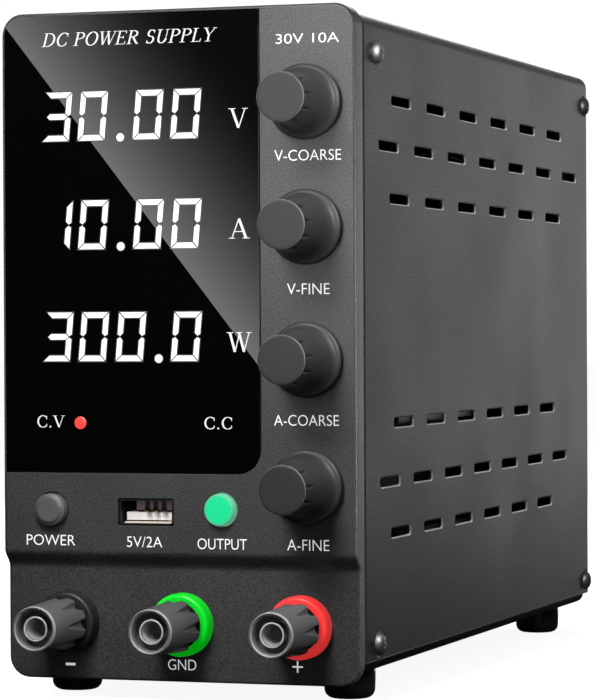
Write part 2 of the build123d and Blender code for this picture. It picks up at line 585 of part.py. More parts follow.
# ---------------------------------------------------------------- push buttons
BUTTONS = {"power": (POWER_CENTRE, POWER_RADIUS, POWER_REACH),
           "output": (OUTPUT_CENTRE, OUTPUT_RADIUS, OUTPUT_REACH)}
FLANGE_Y = BEZEL_FACE + FIT
STEM_END_Y = SWITCH_Y + 2.6
for name, ((x, z), radius, reach) in BUTTONS.items():
    with BuildPart() as button:
        with BuildSketch(spindle(x, z)):
            with BuildLine():
                Polyline((0, -reach), (radius - 1.0, -reach), (radius, -reach + 1.0), (radius, FLANGE_Y),
                         (radius + BUTTON_LIP, FLANGE_Y), (radius + BUTTON_LIP, FLANGE_Y + BUTTON_FLANGE),
                         (STEM_RADIUS, FLANGE_Y + BUTTON_FLANGE), (STEM_RADIUS, STEM_END_Y),
                         (0, STEM_END_Y), close=True)
            make_face()
        revolve(axis=spindle_axis(x, z))
    button.part.label = f"{name}_button"
    export_step(button.part, f"parts/{name}_button.step")

with BuildPart() as push_switches:
    with BuildSketch(front_plane(SWITCH_Y)):
        with Locations(POWER_CENTRE, OUTPUT_CENTRE):
            Rectangle(SWITCH_SIDE, SWITCH_SIDE)
    extrude(amount=-(CONTROL_BOARD_Y - SWITCH_Y))
    with BuildSketch(front_plane(SWITCH_Y)):
        with Locations(POWER_CENTRE, OUTPUT_CENTRE):
            Circle(STEM_RADIUS + FIT)
    extrude(amount=-(CONTROL_BOARD_Y - SWITCH_Y - 1), mode=Mode.SUBTRACT)
push_switches.part.label = "push_switches"
export_step(push_switches.part, "parts/push_switches.step")

# One board carries the potentiometers, both switches and the USB socket.
with BuildPart() as control_board:
    with BuildSketch(front_plane(CONTROL_BOARD_Y)):
        rectangle_between(-FLANGE_X + SHEET + 1, FLANGE_X - SHEET - 1, 35.0, LENS_BOTTOM_Z + 2)
        rectangle_between(KNOB_X - POT_RADIUS, FLANGE_X - SHEET - 1, 35.0, SCREW_TOP_Z - 3)
    extrude(amount=-BOARD)
control_board.part.label = "control_board"
export_step(control_board.part, "parts/control_board.step")

# ---------------------------------------------------------------- USB socket
USB_Y = 0.3
USB_LENGTH = 14.0
TONGUE_BASE = 2.5
TONGUE_HEIGHT = 1.84
with BuildPart() as usb_shell:
    with BuildSketch(front_plane(USB_Y)):
        with Locations(USB_CENTRE):
            RectangleRounded(USB_INNER[0] + 2 * USB_SKIN, USB_INNER[1] + 2 * USB_SKIN, 0.7)
            RectangleRounded(*USB_INNER, 0.4, mode=Mode.SUBTRACT)
    extrude(amount=-USB_LENGTH)
usb_shell.part.label = "usb_shell"
export_step(usb_shell.part, "parts/usb_shell.step")

tongue_z = USB_CENTRE[1] - USB_INNER[1] / 2 + 0.65 + TONGUE_HEIGHT / 2
with BuildPart() as usb_tongue:
    with BuildSketch(front_plane(CONTROL_BOARD_Y)):
        with Locations(USB_CENTRE):
            Rectangle(USB_INNER[0] - 2 * FIT - 0.4, USB_INNER[1] - 2 * FIT - 0.4)
    extrude(amount=CONTROL_BOARD_Y - USB_Y - USB_LENGTH + TONGUE_BASE)
    with BuildSketch(front_plane(USB_Y + 2.2)):
        with Locations((USB_CENTRE[0], tongue_z)):
            Rectangle(11.1, TONGUE_HEIGHT)
    extrude(amount=-(USB_LENGTH - TONGUE_BASE - 1))
usb_tongue.part.label = "usb_tongue"
export_step(usb_tongue.part, "parts/usb_tongue.step")

with BuildPart() as usb_contacts:
    with BuildSketch(front_plane(USB_Y + 3.0)):
        with Locations((USB_CENTRE[0], tongue_z + TONGUE_HEIGHT / 2 + 0.12)):
            with GridLocations(2.3, 1, 4, 1):
                Rectangle(1.1, 0.24)
    extrude(amount=-7.5)
usb_contacts.part.label = "usb_contacts"
export_step(usb_contacts.part, "parts/usb_contacts.step")

# ---------------------------------------------------------------- binding posts
COLLAR_FRONT_Y = RECESS - COLLAR_THICKNESS
CLAMP_Y = COLLAR_FRONT_Y - CLAMP_THICKNESS
CAP_BASE_Y = CLAMP_Y - RUN
CAP_FRONT_Y = RECESS - POST_LENGTH
STUD_FRONT_Y = CAP_FRONT_Y + 1.0
STUD_END_Y = PLATE_BACK_Y + 9.0
for name, x in POSTS.items():
    with BuildPart() as collar:
        with BuildSketch(front_plane(RECESS)):
            with Locations((x, POST_Z)):
                Circle(COLLAR_RADIUS)
        extrude(amount=COLLAR_THICKNESS)
        fillet(collar.faces().sort_by(Axis.Y)[0].edges(), 0.8)
        with BuildSketch(front_plane(RECESS)):
            with Locations((x, POST_Z)):
                Circle(COLLAR_BUSH_RADIUS)
        extrude(amount=-(PLATE_BACK_Y - RECESS))
        with BuildSketch(front_plane(PLATE_BACK_Y)):
            with Locations((x, POST_Z)):
                Circle(STUD_RADIUS + RUN)
        extrude(amount=PLATE_BACK_Y - COLLAR_FRONT_Y, mode=Mode.SUBTRACT)
    collar.part.label = f"{name}_collar"
    export_step(collar.part, f"parts/{name}_collar.step")

    with BuildPart() as clamp_washer:
        with BuildSketch(front_plane(COLLAR_FRONT_Y)):
            with Locations((x, POST_Z)):
                Circle(CLAMP_RADIUS)
                Circle(STUD_RADIUS + 2 * RUN, mode=Mode.SUBTRACT)
        extrude(amount=CLAMP_THICKNESS)
    clamp_washer.part.label = f"{name}_clamp_washer"
    export_step(clamp_washer.part, f"parts/{name}_clamp_washer.step")

    with BuildPart() as cap:
        with BuildSketch(spindle(x, POST_Z)):
            with BuildLine():
                Polyline((STUD_RADIUS + 2 * RUN, CAP_BASE_Y), (CAP_BASE_RADIUS, CAP_BASE_Y),
                         (CAP_NOSE_RADIUS, CAP_FRONT_Y + 1.0), (CAP_NOSE_RADIUS - 0.6, CAP_FRONT_Y),
                         (CAP_NOSE_RADIUS - 1.2, CAP_FRONT_Y), (CAP_NOSE_RADIUS - 1.2, CAP_FRONT_Y + 2.5),
                         (STUD_RADIUS + 2 * RUN, CAP_FRONT_Y + 2.5), close=True)
            make_face()
        revolve(axis=spindle_axis(x, POST_Z))
        # tapered flutes run forward from the base
        for i in range(CAP_FLUTES):
            around = 2 * pi * (i + 0.5) / CAP_FLUTES
            flute = Plane(origin=(x + (CAP_BASE_RADIUS + 0.9) * cos(around), FRONT_Y + CAP_BASE_Y + 0.1,
                                  POST_Z + (CAP_BASE_RADIUS + 0.9) * sin(around)),
                          x_dir=(cos(around), 0, sin(around)), z_dir=(0, -1, 0))
            with BuildSketch(flute):
                Circle(1.9)
            extrude(amount=13.0, taper=4, mode=Mode.SUBTRACT)
    cap.part.label = f"{name}_post_cap"
    export_step(cap.part, f"parts/{name}_post_cap.step")

with BuildPart() as post_studs:
    with BuildSketch(front_plane(STUD_FRONT_Y)):
        with Locations(*POST_CENTRES):
            Circle(STUD_RADIUS)
    extrude(amount=-(STUD_END_Y - STUD_FRONT_Y))
    with BuildSketch(front_plane(STUD_FRONT_Y)):
        with Locations(*POST_CENTRES):
            Circle(SOCKET_RADIUS)
    extrude(amount=-SOCKET_DEPTH, mode=Mode.SUBTRACT)
post_studs.part.label = "post_studs"
export_step(post_studs.part, "parts/post_studs.step")

with BuildPart() as post_nuts:
    with BuildSketch(front_plane(PLATE_BACK_Y)):
        with Locations(*POST_CENTRES):
            RegularPolygon(STUD_RADIUS + 2.1, 6, major_radius=False)
        with Locations(*POST_CENTRES):
            Circle(STUD_RADIUS + RUN, mode=Mode.SUBTRACT)
    extrude(amount=-3.0)
post_nuts.part.label = "post_nuts"
export_step(post_nuts.part, "parts/post_nuts.step")

# ---------------------------------------------------------------- fan
MOTOR_Y = PANEL_Y - 3.0
with BuildPart() as fan_frame:
    with BuildSketch(front_plane(FAN_Y)):
        with Locations((0, FAN_Z)):
            RectangleRounded(FAN_SIDE, FAN_SIDE, 3)
            Circle(FAN_BORE_RADIUS, mode=Mode.SUBTRACT)
        with Locations(*FAN_CORNERS):
            Circle(2.1, mode=Mode.SUBTRACT)
    extrude(amount=-FAN_DEPTH)
    with BuildSketch(front_plane(MOTOR_Y)):
        with Locations((0, FAN_Z)):
            Circle(HUB_RADIUS)
            with PolarLocations((HUB_RADIUS + FAN_BORE_RADIUS) / 2, 4, start_angle=45):
                Rectangle(FAN_BORE_RADIUS - HUB_RADIUS + 2, 3.0)
    extrude(amount=-(PANEL_Y - MOTOR_Y))
    with BuildSketch(front_plane(MOTOR_Y)):
        with Locations((0, FAN_Z)):
            Circle(1.5 + RUN)
    extrude(amount=-2.0, mode=Mode.SUBTRACT)
fan_frame.part.label = "fan_frame"
export_step(fan_frame.part, "parts/fan_frame.step")

ROTOR_Y = FAN_Y + 1.0
BLADE_CHORD = 10.0
with BuildPart() as fan_rotor:
    with BuildSketch(front_plane(ROTOR_Y)):
        with Locations((0, FAN_Z)):
            Circle(HUB_RADIUS - 0.5)
    extrude(amount=-(MOTOR_Y - 0.5 - ROTOR_Y))
    fillet(fan_rotor.faces().sort_by(Axis.Y)[0].edges(), 1.0)
    with BuildSketch(front_plane(MOTOR_Y - 0.5)):
        with Locations((0, FAN_Z)):
            Circle(1.5)
    extrude(amount=-2.2)
    blade_mid_y = FRONT_Y + (ROTOR_Y + MOTOR_Y) / 2
    for i in range(BLADES):
        around = 2 * pi * i / BLADES
        outwards = (cos(around), 0, sin(around))
        root = Plane(origin=(0, blade_mid_y, FAN_Z), x_dir=(0, 1, 0), z_dir=outwards)
        with BuildSketch(root.offset(HUB_RADIUS - 1.5)):
            Rectangle(BLADE_CHORD, 1.3, rotation=38)
        extrude(amount=ROTOR_RADIUS - HUB_RADIUS + 1.0)
fan_rotor.part.label = "fan_rotor"
export_step(fan_rotor.part, "parts/fan_rotor.step")

SPOKE_END = FAN_HOLE_SPACING / 2 * sqrt(2)
GUARD_RINGS = 4
GUARD_SPACING = (FAN_BORE_RADIUS - 9.5) / (GUARD_RINGS - 1)
with BuildPart() as fan_guard:
    ring_y = FRONT_Y + GUARD_BACK_Y - GUARD_WIRE
    with Locations((0, ring_y, FAN_Z)):
        for i in range(GUARD_RINGS):
            Torus(FAN_BORE_RADIUS - 0.5 - i * GUARD_SPACING, GUARD_WIRE, rotation=(90, 0, 0))
    with BuildSketch(front_plane(GUARD_BACK_Y - GUARD_WIRE - 0.6)):
        with Locations((0, FAN_Z)):
            with PolarLocations((SPOKE_END + 8.2) / 2, 4, start_angle=45):
                Rectangle(SPOKE_END - 8.2, 1.3)
        with Locations(*FAN_CORNERS):
            Circle(3.4)
        with Locations(*FAN_CORNERS):
            Circle(2.1, mode=Mode.SUBTRACT)
    extrude(amount=-1.2)
fan_guard.part.label = "fan_guard"
export_step(fan_guard.part, "parts/fan_guard.step")

GUARD_EYE_BACK_Y = GUARD_BACK_Y - GUARD_WIRE + 0.6
with BuildPart() as fan_screws:
    for x, z in FAN_CORNERS:
        under_head = Plane(origin=(x, FRONT_Y + GUARD_EYE_BACK_Y, z), x_dir=(1, 0, 0), z_dir=(0, 1, 0))
        add(pan_screw(under_head, 3.1, REAR_LIMIT_Y - GUARD_EYE_BACK_Y, 1.95, FAN_DEPTH))
fan_screws.part.label = "fan_screws"
export_step(fan_screws.part, "parts/fan_screws.step")

# ---------------------------------------------------------------- mains inlet and voltage selector
INLET_BACK_Y = PANEL_BACK_Y + INLET_FLANGE[2]
INLET_END_Y = PANEL_BACK_Y - INLET_BODY[2]
CAVITY_FLOOR_Y = INLET_END_Y + INLET_FLOOR


def pin_slots():
    with Locations(*[(INLET_CENTRE[0] + x, INLET_CENTRE[1] + z) for x, z in INLET_PINS]):
        Rectangle(*PIN_SIZE)


with BuildPart() as inlet_housing:
    with BuildSketch(front_plane(INLET_BACK_Y)):
        with Locations(INLET_CENTRE):
            RectangleRounded(INLET_FLANGE[0], INLET_FLANGE[1], 1.5)
    extrude(amount=INLET_FLANGE[2])
    with BuildSketch(front_plane(PANEL_BACK_Y)):
        with Locations(INLET_CENTRE):
            Rectangle(INLET_BODY[0], INLET_BODY[1])
    extrude(amount=INLET_BODY[2])
    with BuildSketch(front_plane(INLET_BACK_Y)) as cavity:
        with Locations(INLET_CENTRE):
            Rectangle(*INLET_CAVITY)
        chamfer(cavity.vertices().sort_by(Axis.Y)[-2:], 4.0)
    extrude(amount=INLET_BACK_Y - CAVITY_FLOOR_Y, mode=Mode.SUBTRACT)
    with BuildSketch(front_plane(CAVITY_FLOOR_Y)):
        pin_slots()
    extrude(amount=INLET_FLOOR, mode=Mode.SUBTRACT)
inlet_housing.part.label = "inlet_housing"
export_step(inlet_housing.part, "parts/inlet_housing.step")

PIN_TAB_Y = INLET_END_Y - 5.0
with BuildPart() as inlet_pins:
    with BuildSketch(front_plane(PIN_TAB_Y)):
        pin_slots()
    extrude(amount=-(PANEL_BACK_Y - 2.0 - PIN_TAB_Y))
inlet_pins.part.label = "inlet_pins"
export_step(inlet_pins.part, "parts/inlet_pins.step")

SELECTOR_FLOOR_Y = PANEL_BACK_Y - 3.0
with BuildPart() as selector_body:
    with BuildSketch(front_plane(PANEL_BACK_Y + 1.0)):
        with Locations(SELECTOR_CENTRE):
            RectangleRounded(SELECTOR_SLOT[0] + 12, SELECTOR_SLOT[1] + 9, 1.0)
    extrude(amount=1.0)
    with BuildSketch(front_plane(PANEL_BACK_Y)):
        with Locations(SELECTOR_CENTRE):
            Rectangle(SELECTOR_SLOT[0] + 7.6, SELECTOR_SLOT[1] + 5.6)
    extrude(amount=9.0)
    with BuildSketch(front_plane(PANEL_BACK_Y + 1.0)):
        with Locations(SELECTOR_CENTRE):
            Rectangle(*SELECTOR_SLOT)
    extrude(amount=PANEL_BACK_Y + 1.0 - SELECTOR_FLOOR_Y, mode=Mode.SUBTRACT)
selector_body.part.label = "selector_body"
export_step(selector_body.part, "parts/selector_body.step")

with BuildPart() as selector_slider:
    with BuildSketch(front_plane(PANEL_BACK_Y + 0.4)):
        with Locations((SELECTOR_CENTRE[0] - SELECTOR_TRAVEL / 2, SELECTOR_CENTRE[1])):
            Rectangle(SELECTOR_SLOT[0] - SELECTOR_TRAVEL - 0.4, SELECTOR_SLOT[1] - 0.4)
    extrude(amount=PANEL_BACK_Y + 0.3 - SELECTOR_FLOOR_Y)
selector_slider.part.label = "selector_slider"
export_step(selector_slider.part, "parts/selector_slider.step")

# ---------------------------------------------------------------- power electronics
BOARD_TOP_Z = MAIN_BOARD_Z + BOARD
MAIN_BOARD_LENGTH = BODY_DEPTH - MAIN_BOARD_REAR_MARGIN - MAIN_BOARD_FRONT_Y
MAIN_BOARD_MID = FRONT_Y + MAIN_BOARD_FRONT_Y + MAIN_BOARD_LENGTH / 2
MAIN_BOARD_WIDTH = 2 * (TRAY_X - MAIN_BOARD_GAP)
with BuildPart() as main_board:
    with BuildSketch(Plane.XY.offset(MAIN_BOARD_Z)):
        with Locations((0, MAIN_BOARD_MID)):
            Rectangle(MAIN_BOARD_WIDTH, MAIN_BOARD_LENGTH)
    extrude(amount=BOARD)
main_board.part.label = "main_board"
export_step(main_board.part, "parts/main_board.step")

with BuildPart() as board_standoffs:
    with BuildSketch(Plane.XY.offset(TRAY_LIFT + SHEET)):
        with Locations((0, MAIN_BOARD_MID)):
            with GridLocations(MAIN_BOARD_WIDTH - 8, MAIN_BOARD_LENGTH - 12, 2, 2):
                RegularPolygon(2.75, 6, major_radius=False)
    extrude(amount=MAIN_BOARD_Z - TRAY_LIFT - SHEET)
board_standoffs.part.label = "board_standoffs"
export_step(board_standoffs.part, "parts/board_standoffs.step")

HEATSINK_HEIGHT = 58.0
HEATSINK_LENGTH = 76.0
HEATSINK_BASE = 3.0
FIN_LENGTH = 11.0
FINS = 7
with BuildPart() as heatsinks:
    with BuildSketch(front_plane(MAIN_BOARD_FRONT_Y + 28)):
        for side in (-1, 1):
            with Locations((side * 20.0, BOARD_TOP_Z + HEATSINK_HEIGHT / 2)):
                Rectangle(HEATSINK_BASE, HEATSINK_HEIGHT)
            with Locations((side * (20.0 + FIN_LENGTH / 2), BOARD_TOP_Z + HEATSINK_HEIGHT / 2)):
                with GridLocations(1, (HEATSINK_HEIGHT - 1.6) / (FINS - 1), 1, FINS):
                    Rectangle(FIN_LENGTH, 1.6)
    extrude(amount=-HEATSINK_LENGTH)
heatsinks.part.label = "heatsinks"
export_step(heatsinks.part, "parts/heatsinks.step")

with BuildPart() as transformer:
    with Locations((0, FRONT_Y + MAIN_BOARD_FRONT_Y + 66, BOARD_TOP_Z)):
        Box(32, 30, 26, align=(Align.CENTER, Align.CENTER, Align.MIN))
    chamfer(transformer.edges().filter_by(Axis.Z), 2.0)
    with Locations((0, FRONT_Y + MAIN_BOARD_FRONT_Y + 66, BOARD_TOP_Z + 7)):
        Box(34, 22, 12, align=(Align.CENTER, Align.CENTER, Align.MIN))
transformer.part.label = "transformer"
export_step(transformer.part, "parts/transformer.step")

CAPACITOR_RADIUS = 8.0
with BuildPart() as capacitors:
    with BuildSketch(Plane.XY.offset(BOARD_TOP_Z)):
        with Locations((0, FRONT_Y + MAIN_BOARD_FRONT_Y + 32), (0, FRONT_Y + MAIN_BOARD_FRONT_Y + 96)):
            with GridLocations(2 * CAPACITOR_RADIUS + 1, 1, 2, 1):
                Circle(CAPACITOR_RADIUS)
    extrude(amount=30.0)
    fillet(capacitors.faces().filter_by(Axis.Z).group_by(Axis.Z)[-1].edges(), 1.0)
capacitors.part.label = "capacitors"
export_step(capacitors.part, "parts/capacitors.step")

BLOCK_HEIGHT = 12.0
BLOCK_Y = MAIN_BOARD_FRONT_Y + 2
with BuildPart() as terminal_block:
    with Locations((0, FRONT_Y + BLOCK_Y, BOARD_TOP_Z)):
        Box(MAIN_BOARD_WIDTH - 6, 10, BLOCK_HEIGHT, align=(Align.CENTER, Align.MIN, Align.MIN))
terminal_block.part.label = "terminal_block"
export_step(terminal_block.part, "parts/terminal_block.step")

LEAD_BEND = 6.0
with BuildPart() as output_leads:
    for x in POSTS.values():
        lead_z = BOARD_TOP_Z + BLOCK_HEIGHT / 2
        with BuildLine() as route:
            FilletPolyline((x, FRONT_Y + STUD_END_Y, POST_Z), (x, FRONT_Y + STUD_END_Y + 10, POST_Z),
                           (x * 0.8, FRONT_Y + BLOCK_Y - 10, lead_z), (x * 0.8, FRONT_Y + BLOCK_Y, lead_z),
                           radius=LEAD_BEND)
        with BuildSketch(front_plane(STUD_END_Y)):
            with Locations((x, POST_Z)):
                Circle(LEAD_RADIUS)
        sweep(path=route.wire())
output_leads.part.label = "output_leads"
export_step(output_leads.part, "parts/output_leads.step")

with BuildPart() as mains_leads:
    for pin_x, pin_z in INLET_PINS:
        lead_x, lead_top = INLET_CENTRE[0] + pin_x, INLET_CENTRE[1] + pin_z
        with BuildLine() as route:
            FilletPolyline((lead_x, FRONT_Y + PIN_TAB_Y, lead_top),
                           (lead_x, FRONT_Y + PIN_TAB_Y - 12, lead_top),
                           (lead_x, FRONT_Y + PIN_TAB_Y - 12, BOARD_TOP_Z), radius=LEAD_BEND)
        with BuildSketch(front_plane(PIN_TAB_Y)):
            with Locations((lead_x, lead_top)):
                Circle(0.9)
        sweep(path=route.wire())
mains_leads.part.label = "mains_leads"
export_step(mains_leads.part, "parts/mains_leads.step")
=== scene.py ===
"""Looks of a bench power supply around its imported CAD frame. Lengths are metres unless a name says mm."""

import json
from math import cos, hypot, pi, radians, sin, sqrt, tan

import bmesh
import bpy
from mathutils import Matrix, Vector

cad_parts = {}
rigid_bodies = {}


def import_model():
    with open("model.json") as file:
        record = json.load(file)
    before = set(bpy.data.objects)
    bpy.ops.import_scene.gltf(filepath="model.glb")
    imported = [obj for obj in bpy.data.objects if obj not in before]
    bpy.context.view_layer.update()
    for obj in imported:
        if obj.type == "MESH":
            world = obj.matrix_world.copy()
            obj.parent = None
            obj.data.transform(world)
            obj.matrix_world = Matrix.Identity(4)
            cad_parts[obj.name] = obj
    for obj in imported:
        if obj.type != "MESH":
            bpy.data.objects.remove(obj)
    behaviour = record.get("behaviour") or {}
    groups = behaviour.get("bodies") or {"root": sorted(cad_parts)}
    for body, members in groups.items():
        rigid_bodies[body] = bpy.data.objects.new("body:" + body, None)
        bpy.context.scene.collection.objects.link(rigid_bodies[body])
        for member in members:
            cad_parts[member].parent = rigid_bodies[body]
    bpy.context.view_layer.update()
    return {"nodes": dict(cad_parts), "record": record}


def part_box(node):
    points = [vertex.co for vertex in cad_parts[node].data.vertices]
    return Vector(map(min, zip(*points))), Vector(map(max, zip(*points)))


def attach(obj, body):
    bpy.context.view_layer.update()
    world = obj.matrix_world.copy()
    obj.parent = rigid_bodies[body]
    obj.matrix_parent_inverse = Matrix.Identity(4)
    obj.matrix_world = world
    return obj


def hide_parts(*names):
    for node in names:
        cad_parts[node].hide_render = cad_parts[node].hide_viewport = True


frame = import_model()
NODES = frame["nodes"]
MM = 0.001
ENCLOSURE = "enclosure"
POSTS = ("negative", "ground", "positive")
KNOBS = ("volts_coarse", "volts_fine", "amps_coarse", "amps_fine")

# ---- places read from the frame
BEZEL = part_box("front_bezel")
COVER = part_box("top_cover")
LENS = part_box("display_lens")
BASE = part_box("chassis_base")
FACE_Y = BEZEL[0].y               # the bezel's upper face, which faces -Y
STEP_BACK = 2.8 * MM              # the terminal section is set back by this
TERMINAL_Y = FACE_Y + STEP_BACK


def centre(node):
    low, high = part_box(node)
    return (low + high) / 2


def linked(name, data):
    """A new object around some data, in the scene."""
    made = bpy.data.objects.new(name, data)
    bpy.context.scene.collection.objects.link(made)
    return made


def on_axis(node):
    """(x, z) of a turned piece's axis."""
    middle = centre(node)
    return middle.x, middle.z


# ---- camera
CAMERA_FROM_FACE = Vector((267.25, -705.43, 85.46)) * MM
CAMERA_YAW, CAMERA_PITCH, CAMERA_ROLL = 0.3252, -0.0066, -0.0046
forward = Vector((-sin(CAMERA_YAW) * cos(CAMERA_PITCH), cos(CAMERA_YAW) * cos(CAMERA_PITCH),
                  sin(CAMERA_PITCH)))
level = Vector((cos(CAMERA_YAW), sin(CAMERA_YAW), 0))
upright = level.cross(forward)
right = level * cos(CAMERA_ROLL) + upright * sin(CAMERA_ROLL)
up = upright * cos(CAMERA_ROLL) - level * sin(CAMERA_ROLL)
camera_data = bpy.data.cameras.new("camera")
camera_data.sensor_width = 36
camera_data.lens = 170.0
camera_data.clip_start = 0.01
camera = linked("camera", camera_data)
camera.matrix_world = Matrix.Translation(Vector((0, FACE_Y, 0)) + CAMERA_FROM_FACE) @ Matrix(
    (right, up, -forward)).transposed().to_4x4()
bpy.context.scene.camera = camera


# ---- material building
def new_material(name, colour, roughness=0.5, metallic=0.0, coat=0.0, specular=0.5):
    material = bpy.data.materials.new(name)
    material.use_nodes = True
    shader = material.node_tree.nodes["Principled BSDF"]
    shader.inputs["Base Color"].default_value = (*colour, 1)
    shader.inputs["Roughness"].default_value = roughness
    shader.inputs["Metallic"].default_value = metallic
    shader.inputs["Coat Weight"].default_value = coat
    shader.inputs["Specular IOR Level"].default_value = specular
    return material


def noise_node(tree, scale, detail=3.0, stretch=None):
    """Noise in the part's own coordinates; scale is in waves a metre."""
    place = tree.nodes.new("ShaderNodeTexCoord")
    noise = tree.nodes.new("ShaderNodeTexNoise")
    noise.inputs["Scale"].default_value = scale
    noise.inputs["Detail"].default_value = detail
    if stretch:
        mapping = tree.nodes.new("ShaderNodeMapping")
        mapping.inputs["Scale"].default_value = stretch
        tree.links.new(place.outputs["Object"], mapping.inputs["Vector"])
        tree.links.new(mapping.outputs["Vector"], noise.inputs["Vector"])
    else:
        tree.links.new(place.outputs["Object"], noise.inputs["Vector"])
    return noise


def ramp_between(tree, source, low, high, start=0.35, end=0.65):
    """Colours from low to high as the source goes from start to end."""
    ramp = tree.nodes.new("ShaderNodeValToRGB")
    ramp.color_ramp.elements[0].position = start
    ramp.color_ramp.elements[0].color = (*low, 1)
    ramp.color_ramp.elements[1].position = end
    ramp.color_ramp.elements[1].color = (*high, 1)
    tree.links.new(source, ramp.inputs["Fac"])
    return ramp.outputs["Color"]


def shade(colour, factor):
    return tuple(min(1.0, c * factor) for c in colour)


def speckled(name, colour, roughness, spread=0.25, speck=2200.0, bump=0.1, depth=0.05, patch=60.0,
             metallic=0.0, coat=0.0, specular=0.5, stretch=None, edge=0.0, gloss_spread=0.06):
    """A surface with fine specks, slow patches of tone and gloss, and a bumped grain.

    A grey may be given as one number. depth is the grain's height in mm; edge lightens convex edges."""
    colour = colour if isinstance(colour, tuple) else (colour,) * 3
    material = new_material(name, colour, roughness, metallic, coat, specular)
    tree = material.node_tree
    shader = tree.nodes["Principled BSDF"]
    grain = noise_node(tree, speck, 4.0, stretch)
    patches = noise_node(tree, patch, 2.0)
    base = ramp_between(tree, grain.outputs["Fac"], shade(colour, 1 - spread), shade(colour, 1 + spread))
    slow = ramp_between(tree, patches.outputs["Fac"], (0.93,) * 3, (1.07,) * 3)
    blend = tree.nodes.new("ShaderNodeMix")
    blend.data_type = "RGBA"
    blend.blend_type = "MULTIPLY"
    blend.inputs["Factor"].default_value = 1.0
    tree.links.new(base, blend.inputs["A"])
    tree.links.new(slow, blend.inputs["B"])
    out = blend.outputs["Result"]
    if edge:
        geometry = tree.nodes.new("ShaderNodeNewGeometry")
        worn = tree.nodes.new("ShaderNodeMapRange")
        worn.inputs["From Min"].default_value = 0.52
        worn.inputs["From Max"].default_value = 0.62
        worn.inputs["To Max"].default_value = edge
        tree.links.new(geometry.outputs["Pointiness"], worn.inputs["Value"])
        wear = tree.nodes.new("ShaderNodeMix")
        wear.data_type = "RGBA"
        wear.inputs["B"].default_value = (*shade(colour, 2.2), 1)
        tree.links.new(worn.outputs["Result"], wear.inputs["Factor"])
        tree.links.new(out, wear.inputs["A"])
        out = wear.outputs["Result"]
    tree.links.new(out, shader.inputs["Base Color"])
    if gloss_spread:
        gloss = tree.nodes.new("ShaderNodeMapRange")
        gloss.inputs["To Min"].default_value = max(0.02, roughness - gloss_spread)
        gloss.inputs["To Max"].default_value = min(1.0, roughness + gloss_spread)
        tree.links.new(patches.outputs["Fac"], gloss.inputs["Value"])
        tree.links.new(gloss.outputs["Result"], shader.inputs["Roughness"])
    if bump:
        raised = tree.nodes.new("ShaderNodeBump")
        raised.inputs["Strength"].default_value = bump
        raised.inputs["Distance"].default_value = depth * MM
        tree.links.new(grain.outputs["Fac"], raised.inputs["Height"])
        tree.links.new(raised.outputs["Normal"], shader.inputs["Normal"])
    return material


def lit(name, colour, strength, body=0.3):
    """A glowing piece with faint specks, for lamps and also for glows painted on print and parts that are no
    lamps; body is how light its unlit surface is.
    """
    material = new_material(name, shade(colour, body), 0.35)
    tree = material.node_tree
    shader = tree.nodes["Principled BSDF"]
    specks = noise_node(tree, 900.0, 2.0)
    tone = ramp_between(tree, specks.outputs["Fac"], shade(colour, 0.94), colour)
    tree.links.new(tone, shader.inputs["Emission Color"])
    shader.inputs["Emission Strength"].default_value = strength
    return material


